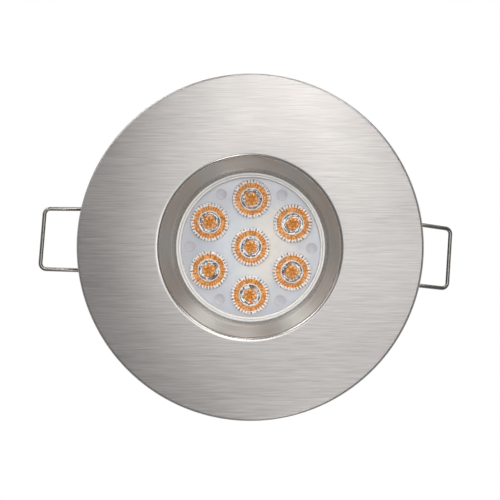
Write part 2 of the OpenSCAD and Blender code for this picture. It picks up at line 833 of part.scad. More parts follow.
module driver_board() {
    color("darkgreen")
    translate([0, 0, pcb_z]) difference() {
        cylinder(r = housing_in_r - 5 * slip, h = pcb_t);
        translate([0, 0, -eps])
            around(cover_fix_angles, cover_fix_r)
            cylinder(r = boss_r + 3 * slip, h = pcb_t + 2 * eps);
        translate([0, 0, -eps])
            around(pcb_fix_angles, pcb_fix_r)
            cylinder(r = small_screw_d / 2 + hole_room, h = pcb_t + 2 * eps);
        translate([0, 0, -eps]) lead_pair(lead_d + 2 * slip, pcb_t + 2 * eps);
    }
}

module driver_screws() {
    color("gainsboro")
    translate([0, 0, pcb_top_z])
        around(pcb_fix_angles, pcb_fix_r)
        screw(small_screw_d, pcb_t + standoff_h - 0.6, small_head_d, small_head_h);
}

// Ferrite core with its wound bobbin
module transformer() {
    color("darkgoldenrod")
    translate(transformer_place) {
        for (z = [0, transformer_core_t + transformer_leg_h])
            translate([-transformer_w / 2, -transformer_l / 2, z])
            cube([transformer_w, transformer_l, transformer_core_t]);
        translate([0, 0, transformer_core_t - eps])
            cylinder(d = transformer_w - 1, h = transformer_leg_h + 2 * eps);
    }
}

module capacitors() {
    color("midnightblue")
    translate([0, large_cap_y, pcb_top_z]) {
        cylinder(d = large_cap_d, h = large_cap_h);
        translate([(large_cap_d + small_cap_d) / 2 + part_gap, 0, 0])
            cylinder(d = small_cap_d, h = small_cap_h);
    }
}

module inductor() {
    color("black")
    translate(choke_place) {
        cylinder(d = choke_core_d, h = choke_h);
        for (z = [0, choke_h - choke_end_t]) translate([0, 0, z]) cylinder(d = choke_d, h = choke_end_t);
    }
}

module driver_chip() {
    color("dimgray")
    translate(chip_place) cube([chip_w, chip_l, chip_t]);
}

// Three-way terminal block for the supply
module terminal_block() {
    color("lightgray")
    translate(terminal_origin) difference() {
        cube([terminal_w, terminal_depth, terminal_h]);
        for (i = [0 : terminal_ways - 1]) translate([(i + 0.5) * terminal_way, 0, 0]) {
            translate([0, -eps, terminal_hole_z]) rotate([-90, 0, 0])
                cylinder(d = terminal_hole_d, h = terminal_depth - terminal_back + eps);
            translate([0, terminal_screw_y, terminal_screw_z])
                cylinder(r = terminal_screw_d / 2 + slip, h = terminal_h);
        }
    }
}

module terminal_screws() {
    color("gainsboro")
    translate(terminal_origin) for (i = [0 : terminal_ways - 1])
        translate([(i + 0.5) * terminal_way, terminal_screw_y, terminal_screw_z])
        cylinder(d = terminal_screw_d, h = terminal_screw_h);
}

module rear_cover() {
    color("whitesmoke")
    translate([0, 0, cover_z]) difference() {
        cylinder(r = housing_r, h = cover_t);
        translate([0, 0, -eps]) cylinder(r = gland_thread_d / 2 + slip, h = cover_t + 2 * eps);
        translate([0, 0, -eps])
            around(cover_fix_angles, cover_fix_r)
            cylinder(r = small_screw_d / 2 + hole_room, h = cover_t + 2 * eps);
    }
}

module cover_seal() {
    color("black")
    translate([0, 0, rim_z]) difference() {
        ring(housing_r, housing_in_r - cover_seal_lap, cover_seal_t);
        translate([0, 0, -eps])
            around(cover_fix_angles, cover_fix_r)
            cylinder(r = small_screw_d / 2 + hole_room, h = cover_seal_t + 2 * eps);
    }
}

module cover_screws() {
    color("gainsboro")
    translate([0, 0, cover_top_z])
        around(cover_fix_angles, cover_fix_r)
        screw(small_screw_d, cover_t + cover_seal_t + cover_screw_bite, small_head_d, small_head_h);
}

// ---------- cable gland ----------

module gland_body() {
    color("dimgray")
    difference() {
        union() {
            translate([0, 0, cover_top_z - gland_tail]) cylinder(r = gland_neck_r, h = gland_tail + eps);
            translate([0, 0, cover_top_z]) cylinder(d = gland_hex_d, h = gland_hex_h, $fn = 6);
            translate([0, 0, gland_neck_z - eps]) cylinder(r = gland_neck_r, h = gland_seal_h + eps);
        }
        translate([0, 0, cover_top_z - gland_tail - eps])
            cylinder(d = gland_bore_d, h = gland_tail + gland_hex_h + gland_seal_h + 1);
        translate([0, 0, gland_seal_z]) cylinder(r = gland_cup_r, h = gland_seal_h + 1);
    }
}

module gland_locknut() {
    color("dimgray")
    translate([0, 0, cover_z - locknut_h]) difference() {
        cylinder(d = gland_hex_d, h = locknut_h, $fn = 6);
        translate([0, 0, -eps]) cylinder(r = gland_neck_r + thread_room, h = locknut_h + 2 * eps);
    }
}

module gland_seal() {
    color("black")
    translate([0, 0, gland_seal_z]) ring(gland_cup_r - slip, cable_d / 2, gland_seal_h);
}

module gland_nut() {
    shell_z = gland_neck_z + gland_nut_gap;
    crown_t = 2.4;
    hex_h = 6;
    color("dimgray")
    difference() {
        union() {
            translate([0, 0, shell_z]) cylinder(d = gland_hex_d, h = hex_h, $fn = 6);
            translate([0, 0, shell_z + hex_h - eps])
                cylinder(d1 = gland_hex_d - 2.4, d2 = gland_bore_d + 3, h = gland_nut_h - hex_h + eps);
        }
        translate([0, 0, shell_z - eps]) cylinder(d = gland_bore_d, h = gland_nut_h + 1);
        translate([0, 0, shell_z - eps])
            cylinder(r = gland_neck_r + thread_room, h = gland_nut_h - crown_t + eps);
    }
}

front_bezel();
ceiling_gasket();
lens_gasket();
lens_plate();
lens_holder();
led_board();
led_packages();
led_domes();
board_screws();
thermal_pad();
led_leads();
body_seal();
heat_sink();
bezel_screws();
bracket_right();
bracket_left();
bracket_screws();
pivot_pin_right();
pivot_pin_left();
spring_clip_right();
spring_clip_left();
spring_coil_right();
spring_coil_left();
driver_housing();
housing_screws();
driver_board();
driver_screws();
transformer();
capacitors();
inductor();
driver_chip();
terminal_block();
terminal_screws();
rear_cover();
cover_seal();
cover_screws();
gland_body();
gland_locknut();
gland_seal();
gland_nut();
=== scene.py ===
"""Looks of a round recessed soffit downlight: brushed flange, seven lenses, finned body, two wire clips.

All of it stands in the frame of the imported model: z = 0 is the underside of the soffit, and the light
shines to -Z. Shapes are drawn in millimetres and turned into metres when a piece is made.
"""
import math

import bmesh
import bpy
import numpy as np
from mathutils import Matrix, Vector


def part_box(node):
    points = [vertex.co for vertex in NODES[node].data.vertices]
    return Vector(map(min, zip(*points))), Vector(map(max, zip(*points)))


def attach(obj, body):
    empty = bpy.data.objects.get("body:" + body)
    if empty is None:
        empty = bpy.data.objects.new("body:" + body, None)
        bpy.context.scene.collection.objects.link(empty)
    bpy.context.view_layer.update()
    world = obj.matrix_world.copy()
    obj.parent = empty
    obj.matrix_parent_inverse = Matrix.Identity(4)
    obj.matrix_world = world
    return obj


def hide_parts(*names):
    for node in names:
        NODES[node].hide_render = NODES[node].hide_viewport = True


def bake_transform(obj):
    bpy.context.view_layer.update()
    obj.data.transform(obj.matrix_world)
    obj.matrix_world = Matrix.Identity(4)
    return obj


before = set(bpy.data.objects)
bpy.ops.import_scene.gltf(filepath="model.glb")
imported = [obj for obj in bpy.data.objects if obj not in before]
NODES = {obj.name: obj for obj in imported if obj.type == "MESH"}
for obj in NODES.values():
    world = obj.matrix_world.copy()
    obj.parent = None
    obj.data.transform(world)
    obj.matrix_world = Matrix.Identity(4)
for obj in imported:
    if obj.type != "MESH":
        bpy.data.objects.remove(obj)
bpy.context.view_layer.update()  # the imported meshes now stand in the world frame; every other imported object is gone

SCENE = bpy.context.scene
MM = 0.001
RANDOM = np.random.default_rng(7)


def corner_low(node):
    """Lowest corner of a CAD node in millimetres."""
    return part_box(node)[0] / MM


def corner_high(node):
    """Highest corner of a CAD node in millimetres."""
    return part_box(node)[1] / MM


def radians(*angles):
    return [math.radians(a) for a in angles]


# ---------- sizes, from the frame where a node shows them ----------

SLIP = 0.1
FLANGE_R = corner_high("front_bezel").x
FACE_Z = corner_low("front_bezel").z
FLANGE_Z = corner_low("ceiling_gasket").z
SINK_Z = corner_high("front_bezel").z
GASKET_R = corner_high("ceiling_gasket").x
MOUTH_R = 28.5
LIP_R = 1.4
EDGE_R = 0.8
SHELF_Z = 3.4
SEAT_Z = corner_low("lens_gasket").z
FOOT_R = 24.7
FOOT_SHADE_BAND = 0.45       # band of painted shade outside the foot of the recess wall
WALL_FOOT = (FOOT_R - 0.3, SHELF_Z - 1.3)
WALL_GROOVES = (0.25, 0.75, 1.25)  # turned grooves, from the foot of the wall
WALL_GROOVE_W = 0.2
WALL_GROOVE_T = 0.06
APERTURE_R = 23.9
POCKET_R = 26.6
SKIRT_R = 32.5
BODY_SEAL_W = 1.4
BEZEL_FIX_R = (POCKET_R + BODY_SEAL_W + SLIP + SKIRT_R) / 2 - 0.2
BEZEL_FIX_ANGLES = radians(45, 135, 225, 315)
PAD_X = 33.6
PAD_HALF = 7.0
PAD_SINK = 2.0         # how deep a pad reaches into the skirt
SPIGOT_R = 44.5
SPIGOT_WALL = 2.0
SPIGOT_STEP = 0.5
SPIGOT_H = 6.0

HOLDER_OUT_R = corner_high("lens_holder").x
HOLDER_FRONT_Z = corner_low("lens_holder").z
BOARD_Z = corner_high("lens_holder").z
SHOULDER_Z = corner_high("lens_gasket").z
HOLDER_IN_R = 22.35
HOLDER_RIM_R = 23.05
HOLDER_RIM_Z = HOLDER_FRONT_Z - 0.7
HOLDER_SLANT = 0.3     # how far the rim's inner side leans outwards
SEAL_BEAD_Z = SHELF_Z + 0.12
SEAL_BEAD_R = APERTURE_R - 0.03

LENS_FACE_R = 22.34
LENS_RIM_R = corner_high("lens_plate").x
LENS_FRONT_Z = corner_low("lens_plate").z
PLATE_Z = LENS_FRONT_Z + 0.85
PLATE_BACK_Z = LENS_FRONT_Z + 3.0
LENS_RIM_T = 1.0
LENS_TAIL_Z = LENS_FRONT_Z + 8.4
LENS_TAIL_R = 3.0
LENS_BORE_R = 2.1
LENS_PITCH = 15.4
LENS_R = 6.3
LENS_SHIFT = 0.1       # play of the lens plate in its holder
FOOT_DIP = 0.02        # how far a foot's face stands in front of the plate
FOOT_PITCH = 19.5
FOOT_MARK_R = 1.8
ENGINE_TURN = math.radians(-1.4)

SINK_PLATE_T = 4.0
FIN_Z = SINK_Z + SINK_PLATE_T
SINK_TOP_Z = corner_high("heat_sink").z
CORE_R = 15.0
FIN_R = 32.4
FIN_T = 1.6
FIN_COUNT = 24
FIN_ROOT = 1.0         # how deep a fin reaches into core and base
BRACKET_PAD_R = CORE_R + 8
BRACKET_PAD_Z = FIN_Z + 10.5
BRACKET_TOP_Z = corner_high("bracket_right").z
BRACKET_LOW_Z = corner_low("bracket_right").z
SHEET_T = 1.2
SHEET_BEVEL = 0.18
BRACKET_HALF = 6.5
EAR_HALF_GAP = 2.7
EAR_R = 3.0
EAR_ROOT = 5.5
EAR_SINK = 0.3         # how far the ears' root stands in the plate

PIVOT_X = 38.5
PIVOT_Z = 12.0
BRACKET_FIX_Z = PIVOT_Z + 11.6
PIN_R = 1.7
PIN_HEAD_R = 2.6
PIN_HEAD_T = 1.0
PIN_HALF = corner_high("pivot_pin_right").y

HOUSING_R = corner_high("driver_housing").x
HOUSING_Z = corner_low("driver_housing").z
HOUSING_TOP_Z = corner_high("driver_housing").z
HOUSING_WALL = 2.0
COVER_Z = corner_low("rear_cover").z
COVER_TOP_Z = corner_high("rear_cover").z
COVER_FIX_R = 22.4
COVER_FIX_ANGLES = radians(90, 210, 330)
COVER_DISH_OUT_R = COVER_FIX_R + 3.0
COVER_DISH_T = 0.3     # depth of the cover's shallow dish
CASE_GROOVE_Z = HOUSING_TOP_Z - 2.0
CASE_GROOVE_T = 0.2
SPOT_R = 2.6           # flat spots under the cover's screws
SPOT_T = 0.6

GLAND_NECK_R = 5.9
GLAND_INSIDE_R = GLAND_NECK_R - 1
GLAND_BORE_R = 4.2
GLAND_HEX_R = 8.5
GLAND_HEX_H = 4.0
GLAND_DISH_R = GLAND_HEX_R + 2.9
GLAND_MOUTH_R = GLAND_BORE_R + 1.5
HEX_BREAK = 0.4        # height of the broken edge of a hexagon
GLAND_LOW_Z = corner_low("gland_body").z
GLAND_HIGH_Z = corner_high("gland_body").z
NUT_LOW_Z = corner_low("gland_nut").z
NUT_HIGH_Z = corner_high("gland_nut").z
NUT_HEX_H = 6.0
NUT_PLAY = 0.02
NUT_CROWN_H = 2.4
SEAL_LOW_Z = corner_low("gland_seal").z
SEAL_HIGH_Z = corner_high("gland_seal").z
CABLE_R = 3.5

SCREW = (1.45, 3, 2.6, 2.0)        # shank radius, bite, head radius and head height
SMALL_SCREW = (1.1, 3, 2.0, 1.4)

# Spring wire: the same route as in the CAD model
WIRE_R = 0.65
COIL_R = 2.8
COIL_TURNS = 2
COIL_PITCH = 1.8
ARM_Y = 10.15
BAR_Y = 9.8
ARM_LEN = 29.3
BEND_R = 1.9
BEND_STEPS = 14
COIL_STEPS = 110
LEG_Z = 5.0
CLIPS = {
    "right": {"side": 1, "slant": math.radians(22), "play": -1.2, "run": 2.3, "lean": -0.4},
    "left": {"side": -1, "slant": math.radians(-5), "play": -0.5, "run": 0.6, "lean": 0.8},
}

# ---------- mesh helpers, in millimetres ----------


def bend(before, corner, after, radius, steps):
    """Points of an arc that replaces a corner."""
    ea, eb = (before - corner).normalized(), (after - corner).normalized()
    half = ea.angle(eb) / 2
    sweep = math.pi - 2 * half
    centre = corner + (ea + eb).normalized() * radius / math.sin(half)
    va = corner + ea * radius / math.tan(half) - centre
    vb = corner + eb * radius / math.tan(half) - centre
    shares = [k / steps for k in range(steps + 1)]
    return [centre + (math.sin(sweep * (1 - t)) * va + math.sin(sweep * t) * vb) / math.sin(sweep)
            for t in shares]


def rounded(corners, steps=5, closed=True):
    """Points of an outline. A corner (x, y, radius) with a radius becomes an arc."""
    places = [Vector(c[:2]) for c in corners]
    points = []
    for i, (x, y, radius) in enumerate(corners):
        if radius == 0 or (not closed and i in (0, len(corners) - 1)):
            points.append((x, y))
        else:
            arc = bend(places[i - 1], places[i], places[(i + 1) % len(corners)], radius, steps)
            points += [tuple(p) for p in arc]
    return points


def ring(radius, z, count, sides=0):
    """Points of a circle, or of a polygon with that corner radius."""
    points = []
    for i in range(count):
        a = 2 * math.pi * i / count
        r = radius
        if sides:
            step = 2 * math.pi / sides
            r = radius * math.cos(step / 2) / math.cos(a % step - step / 2)
        points.append(Vector((r * math.cos(a), r * math.sin(a), z)))
    return points


def add_loft(bm, rings, place=None, closed=False):
    """Skins rings of equally many points. Either the last joins the first (closed) or the ends get caps."""
    place = place or Matrix.Identity(4)
    rows = [[bm.verts.new(place @ Vector(p)) for p in points] for points in rings]
    count = len(rows[0])
    pairs = list(zip(rows, rows[1:] + rows[:1] if closed else rows[1:]))
    faces = []
    for low, high in pairs:
        for i in range(count):
            j = (i + 1) % count
            faces.append(bm.faces.new((low[i], low[j], high[j], high[i])))
    if not closed:
        faces.append(bm.faces.new(rows[0]))
        faces.append(bm.faces.new(rows[-1]))
    return faces


def add_lathe(bm, profile, count=128, place=None, closed=True):
    """Turns an outline of (radius, height) points about the axis."""
    return add_loft(bm, [ring(r, z, count) for r, z in profile], place, closed)


def soften(bm, edges, size):
    """Rounds edges, in their given order."""
    bmesh.ops.bevel(bm, geom=list(edges), offset=size, segments=2, profile=0.6, affect="EDGES",
                    clamp_overlap=True)


def add_prism(bm, outline, low, high, place=None, bevel=0.0):
    """Raises an outline from low to high, with its long edges bevelled."""
    faces = add_loft(bm, [[(x, y, z) for x, y in outline] for z in (low, high)], place)
    if bevel:
        soften(bm, dict.fromkeys(e for f in faces[-2:] for e in f.edges), bevel)


def add_block(bm, low, high, bevel):
    """A block between two corners with rounded edges."""
    low, high = Vector(low), Vector(high)
    made = bmesh.ops.create_cube(bm, size=1.0)
    matrix = Matrix.Translation((high + low) / 2) @ Matrix.Diagonal((*(high - low), 1.0))
    bmesh.ops.transform(bm, matrix=matrix, verts=made["verts"])
    soften(bm, dict.fromkeys(e for v in made["verts"] for e in v.link_edges), bevel)


def add_tube(bm, path, radius, across, sides=20):
    """A round wire along a path. across is a direction that the path never runs along."""
    rings = []
    last = len(path) - 1
    for i, point in enumerate(path):
        along = (path[min(i + 1, last)] - path[max(i - 1, 0)]).normalized()
        u = (across - across.dot(along) * along).normalized()
        v = along.cross(u)
        # the cut ends are slightly broken at their edge
        for share, shift in ends_of(i, last):
            centre = point + along * radius * shift
            rings.append([
                centre + radius * share * (math.cos(a) * u + math.sin(a) * v)
                for a in (2 * math.pi * k / sides for k in range(sides))
            ])
    add_loft(bm, rings)


def ends_of(i, last):
    """Sizes and shifts of the rings at one point of a wire."""
    if i == 0:
        return [(0.72, 0.0), (1.0, 0.28)]
    if i == last:
        return [(1.0, -0.28), (0.72, 0.0)]
    return [(1.0, 0.0)]


def turned(angle, radius=0.0, z=0.0):
    """Placement at an angle and a radius about the axis."""
    return Matrix.Rotation(angle, 4, "Z") @ Matrix.Translation((radius, 0, z))


def make_piece(name, bm, materials, stands_for=(), body="housing", sharp=35, rule=None):
    """Turns a mesh in millimetres into a named piece that rides on a body. rule gives a face's material
    from its centre."""
    bmesh.ops.recalc_face_normals(bm, faces=bm.faces[:])
    if rule:
        for face in bm.faces:
            face.material_index = rule(face.calc_center_median())
    bmesh.ops.scale(bm, vec=(MM, MM, MM), verts=bm.verts[:])
    mesh = bpy.data.meshes.new(name)
    bm.to_mesh(mesh)
    bm.free()
    for material in materials:
        mesh.materials.append(material)
    mesh.shade_smooth()
    mesh.set_sharp_from_angle(angle=math.radians(sharp))
    piece = bpy.data.objects.new(name, mesh)
    SCENE.collection.objects.link(piece)
    if body:
        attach(piece, body)
    if stands_for:
        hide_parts(*stands_for)
    return piece


# ---------- materials ----------


def add_node(tree, kind, **values):
    """A new node with its properties and its unlinked inputs set."""
    made = tree.nodes.new(kind)
    for key, value in values.items():
        if hasattr(made, key):
            setattr(made, key, value)
        else:
            made.inputs[key.replace("_", " ")].default_value = value
    return made


def connect(tree, *pairs):
    """Links sockets or, where a node is given, its first one."""
    for source, target in pairs:
        tree.links.new(getattr(source, "outputs", [source])[0], getattr(target, "inputs", [target])[0])


def feed(tree, sockets, values):
    """Gives sockets their values: numbers or colours, or else what is to be linked to them."""
    for socket, value in zip(sockets, values):
        if isinstance(value, (float, tuple)):
            socket.default_value = value
        else:
            connect(tree, (value, socket))


def maths(tree, operation, *terms):
    made = add_node(tree, "ShaderNodeMath", operation=operation)
    feed(tree, made.inputs, terms)
    return made.outputs[0]


def colour_sockets(sockets):
    return [s for s in sockets if s.type == "RGBA"]


def scaled(colour, factor=1.0):
    """A colour made lighter or darker, with its alpha."""
    return (*[min(1.0, c * factor) for c in colour[:3]], 1.0)


def object_place(tree):
    """The point in the object's own frame."""
    return add_node(tree, "ShaderNodeTexCoord").outputs["Object"]


def grain_field(tree, scale, turn=0.0, detail=5.0, seed=0.0):
    """Noise in the object's own frame, stretched by a scale of its own in each direction."""
    level = add_node(tree, "ShaderNodeVectorRotate", rotation_type="Z_AXIS", Angle=turn)
    mapping = add_node(tree, "ShaderNodeMapping", Scale=scale, Location=(seed, seed, seed))
    noise = add_node(tree, "ShaderNodeTexNoise", Scale=1.0, Detail=detail, Roughness=0.6)
    connect(tree, (object_place(tree), level), (level, mapping), (mapping, noise))
    return noise.outputs["Fac"]


def turning_field(tree, pitch_r, pitch_a):
    """Noise that runs round the axis, as the marks of a lathe do."""
    place = object_place(tree)
    split = add_node(tree, "ShaderNodeSeparateXYZ")
    length = add_node(tree, "ShaderNodeVectorMath", operation="LENGTH")
    connect(tree, (place, split), (place, length))
    angle = maths(tree, "ARCTAN2", split.outputs["Y"], split.outputs["X"])
    joined = add_node(tree, "ShaderNodeCombineXYZ")
    feed(tree, joined.inputs, (
        maths(tree, "MULTIPLY", length.outputs["Value"], 1 / (pitch_r * MM)),
        maths(tree, "MULTIPLY", angle, 1 / pitch_a),
    ))
    noise = add_node(tree, "ShaderNodeTexNoise", Scale=1.0, Detail=3.0, Roughness=0.6)
    connect(tree, (joined, noise))
    return noise.outputs["Fac"]


def spread_of(tree, field, low, high, first=0.3, final=0.7, curve="LINEAR"):
    """A field mapped from its spread, as a rule that of a noise, to a range."""
    spread = add_node(tree, "ShaderNodeMapRange", interpolation_type=curve, From_Min=first, From_Max=final,
                      To_Min=low, To_Max=high)
    connect(tree, (field, spread))
    return spread.outputs["Result"]


def blend_colours(tree, field, dark, light):
    """Two colours mixed by a field from 0 to 1. A colour may be the output of another mix."""
    mix = add_node(tree, "ShaderNodeMix", data_type="RGBA")
    connect(tree, (field, mix.inputs["Factor"]))
    feed(tree, colour_sockets(mix.inputs), (dark, light))
    return colour_sockets(mix.outputs)[0]


COARSE_GRAIN = (45, 45, 45)


def surface(name, colour, roughness, metallic=0.0, grain=900, tint=0.08, spread=0.06, bump=0.1,
            bump_mm=0.02, turn=0.0, detail=5.0, field=None, **sockets):
    """A principled material whose colour, roughness and relief vary with a grain, in cells per metre.
    A further input of its shader has a value, or a function that makes what is linked to it."""
    material = bpy.data.materials.new(name)
    material.use_nodes = True
    tree = material.node_tree
    shader = tree.nodes["Principled BSDF"]
    cells = grain if isinstance(grain, tuple) else (grain,) * 3
    fine = field(tree) if field else grain_field(tree, cells, turn, detail)
    coarse = grain_field(tree, COARSE_GRAIN, seed=3.1, detail=2.0)
    tone = blend_colours(tree, spread_of(tree, fine, 0.0, 1.0), scaled(colour, 1 - tint),
                         scaled(colour, 1 + tint))
    rough = maths(tree, "ADD", spread_of(tree, fine, roughness - spread, roughness),
                  spread_of(tree, coarse, 0.0, spread))
    relief = add_node(tree, "ShaderNodeBump", Strength=bump, Distance=bump_mm * MM)
    connect(tree, (tone, shader.inputs["Base Color"]), (rough, shader.inputs["Roughness"]),
            (fine, relief.inputs["Height"]), (relief, shader.inputs["Normal"]))
    shader.inputs["Metallic"].default_value = metallic
    for key, value in sockets.items():
        feed(tree, [shader.inputs[key.replace("_", " ")]], [value(tree) if callable(value) else value])
    return material


IMAGE_TURN = math.radians(2.4)  # the clip axis stands this much off level in the view


def level_tangent(tree):
    return add_node(tree, "ShaderNodeCombineXYZ", X=math.sin(IMAGE_TURN), Y=math.cos(IMAGE_TURN))


def ring_tangent(tree):
    return add_node(tree, "ShaderNodeTangent", direction_type="RADIAL", axis="Z")


def turned_recess(name, colour, mark_angle, tint):
    """The recess wall, turned on a lathe, so that its sheen stretches up and down the wall."""
    return surface(name, colour, 0.42, metallic=1.0, tint=tint, spread=0.06, bump=0.3, bump_mm=0.01,
                   field=lambda tree: turning_field(tree, 0.35, mark_angle), Anisotropic=0.85,
                   Anisotropic_Rotation=0.25, Tangent=ring_tangent)


# Painted glow of the clear plate, as if lit from within: brighter and warmer right of the middle, fading to
# a darker edge colour.
PAINTED_GLOW_WARM = (0.93, 0.80, 0.69)
PAINTED_GLOW_COOL = (0.80, 0.785, 0.80)
PLATE_EDGE = (0.66, 0.635, 0.665)
PLATE_SIDES = (-9.0, 6.0)     # from the cool side to the warm side
PAINTED_GLOW_X = 2.2            # middle of the painted glow, its brightest place
PAINTED_GLOW_FADE = (3.0, 19.0)      # radii where the painted glow begins to fade and ends
PLATE_CLOUD = 20.0            # unevenness of those radii


def plate_painted_glow(tree):
    """Painted glow: bright and warm right of the middle, cooler on the left, fading to a darker lilac grey
    towards the edge.
    """
    place = object_place(tree)
    parts = add_node(tree, "ShaderNodeSeparateXYZ")
    away = add_node(tree, "ShaderNodeVectorMath", operation="SUBTRACT")
    flat = add_node(tree, "ShaderNodeVectorMath", operation="MULTIPLY")
    length = add_node(tree, "ShaderNodeVectorMath", operation="LENGTH")
    connect(tree, (place, parts), (flat, length))
    feed(tree, away.inputs, (place, (PAINTED_GLOW_X * MM, 0, 0)))
    feed(tree, flat.inputs, (away, (1, 1, 0)))
    cloud = grain_field(tree, (170, 170, 170), detail=3.0, seed=5.2)
    uneven = maths(tree, "MULTIPLY_ADD", cloud, PLATE_CLOUD * MM, length.outputs["Value"])
    side = spread_of(tree, parts.outputs["X"], 0.0, 1.0, *[x * MM for x in PLATE_SIDES])
    middle = blend_colours(tree, side, scaled(PAINTED_GLOW_COOL), scaled(PAINTED_GLOW_WARM))
    fade = [(PLATE_CLOUD / 2 + r) * MM for r in PAINTED_GLOW_FADE]
    share = spread_of(tree, uneven, 0.0, 1.0, *fade, curve="SMOOTHSTEP")
    return blend_colours(tree, share, middle, scaled(PLATE_EDGE))


FACET = {"spread": 0.03, "Coat_Weight": 0.8, "Coat_Roughness": 0.03}
AMBER = {"grain": 1500, "tint": 0.2, "bump_mm": 0.05, "detail": 2.0, "Coat_Weight": 0.15,
         "Coat_Roughness": 0.05}
EYE = {"grain": 2200, "spread": 0.05, "bump": 0.2, "bump_mm": 0.08, "detail": 2.0, "Coat_Roughness": 0.05}

MATERIALS = {
    # satin nickel with a straight grain, level in the view
    "face": surface("brushed_face", (0.455, 0.432, 0.416), 0.40, metallic=1.0, grain=(105, 3700, 3700),
                    turn=IMAGE_TURN, tint=0.175, bump=0.2, bump_mm=0.004, detail=3.0, Anisotropic=0.6,
                    Specular_Tint=(0.4, 0.39, 0.38, 1), Tangent=level_tangent),
    "turned": turned_recess("turned_recess", (0.515, 0.494, 0.466), 0.5, 0.09),
    # darker turned metal at the foot of the recess wall: painted shade, with real fine turning marks
    "foot": turned_recess("turned_foot_painted_shade", (0.39, 0.372, 0.35), 0.022, 0.30),
    "lip": surface("polished_lip", (0.52, 0.50, 0.478), 0.25, metallic=1.0, tint=0.04, spread=0.05,
                   bump_mm=0.004, field=lambda tree: turning_field(tree, 0.2, 0.8)),
    "cast": surface("cast_zinc_back", (0.50, 0.50, 0.49), 0.55, metallic=0.9, grain=2600, tint=0.10,
                    spread=0.10, bump=0.35, bump_mm=0.03),
    "foam": surface("closed_cell_foam", (0.045, 0.045, 0.047), 0.92, grain=3200, tint=0.5, bump=0.9,
                    bump_mm=0.12, detail=3.0),
    "silicone": surface("white_silicone", (0.97, 0.93, 0.89), 0.48, grain=700, tint=0.03, bump=0.05,
                        Subsurface_Weight=0.1),
    "holder": surface("white_holder", (0.97, 0.93, 0.88), 0.30, grain=500, tint=0.03, bump=0.05,
                      Coat_Weight=0.2),
    # its base colour is a painted glow, drawn by the function given as Base_Color
    "plate": surface("clear_plate", PAINTED_GLOW_WARM, 0.20, grain=110, tint=0.04, spread=0.05, bump=0.12,
                     bump_mm=0.05, detail=2.0, Base_Color=plate_painted_glow, Coat_Weight=0.5,
                     Coat_Roughness=0.05, Subsurface_Weight=0.15),
    "mark": surface("foot_mark", (0.53, 0.51, 0.54), 0.28, grain=300, tint=0.05, bump_mm=0.03,
                    Coat_Weight=0.4, Coat_Roughness=0.06),
    # clear lens facets, painted: glints in white, reflections in grey and dark
    "white": surface("facet_painted_glint", (0.97, 0.97, 0.98), 0.12, grain=650, tint=0.06, **FACET),
    "grey": surface("facet_painted_grey_reflection", (0.46, 0.43, 0.40), 0.10, grain=1600, tint=0.35, **FACET),
    "dark": surface("facet_painted_dark_reflection", (0.13, 0.105, 0.085), 0.10, grain=1600, tint=0.5, **FACET),
    "amber": surface("phosphor_ring", (0.84, 0.355, 0.082), 0.24, **AMBER),
    # darker amber: painted shade in dips and between the teeth
    "amber_painted_shade": surface("phosphor_painted_shade", (0.50, 0.172, 0.022), 0.24, **AMBER),
    "eye": surface("phosphor_eye", (0.68, 0.225, 0.012), 0.2, tint=0.3, Coat_Weight=0.4, **EYE),
    # lighter amber: painted highlights on the lobes of the middle
    "eye_painted_highlight": surface("phosphor_painted_highlight", (0.96, 0.52, 0.17), 0.18, tint=0.2, Coat_Weight=0.6, **EYE),
    "wire": surface("spring_wire", (0.29, 0.275, 0.26), 0.26, metallic=1.0, grain=(60, 900, 900), tint=0.12,
                    spread=0.08, bump=0.15, bump_mm=0.01, Specular_Tint=(0.2, 0.19, 0.18, 1)),
    "zinc": surface("zinc_sheet", (0.56, 0.57, 0.575), 0.34, metallic=1.0, grain=220, tint=0.12, spread=0.12,
                    bump=0.12, detail=4.0),
    "screw": surface("zinc_screw", (0.60, 0.60, 0.585), 0.28, metallic=1.0, grain=1200, tint=0.10,
                     spread=0.08, bump_mm=0.01),
    "aluminium": surface("cast_aluminium", (0.58, 0.585, 0.59), 0.50, metallic=1.0, grain=2200, tint=0.09,
                         spread=0.10, bump=0.4, bump_mm=0.03),
    "housing": surface("housing_plastic", (0.78, 0.775, 0.75), 0.52, grain=2600, tint=0.03, bump=0.35,
                       bump_mm=0.03),
    "nylon": surface("black_nylon", (0.035, 0.035, 0.037), 0.46, grain=1800, tint=0.25, spread=0.08,
                     bump=0.25),
    "rubber": surface("black_rubber", (0.022, 0.022, 0.023), 0.68, grain=1400, tint=0.3, bump=0.3),
    "mask": surface("white_solder_mask", (0.80, 0.80, 0.80), 0.32, tint=0.04),
    "ceramic": surface("led_ceramic", (0.82, 0.79, 0.68), 0.40, grain=1500, tint=0.05),
    "phosphor": surface("led_phosphor", (0.85, 0.36, 0.05), 0.30, grain=1500, tint=0.12, Coat_Weight=0.6),
    "pad": surface("thermal_pad", (0.36, 0.40, 0.44), 0.80, grain=1600, tint=0.12, bump=0.3),
    "lead": surface("red_lead", (0.52, 0.03, 0.02), 0.36, grain=800, bump=0.05),
    "board": surface("green_board", (0.018, 0.16, 0.06), 0.34, grain=500, tint=0.25, bump=0.15,
                     Coat_Weight=0.3),
    "ferrite": surface("ferrite_core", (0.06, 0.056, 0.052), 0.62, grain=2000, tint=0.25, bump=0.3),
    "sleeve": surface("capacitor_sleeve", (0.02, 0.04, 0.12), 0.26, grain=700, tint=0.15, bump=0.05),
    "chip": surface("chip_epoxy", (0.03, 0.03, 0.032), 0.55, grain=2600, tint=0.25, bump=0.3),
    "terminal": surface("terminal_plastic", (0.42, 0.45, 0.47), 0.44, grain=1500, tint=0.06, bump=0.15),
}


def looks(*keys):
    return [MATERIALS[key] for key in keys]


# ---------- front ----------


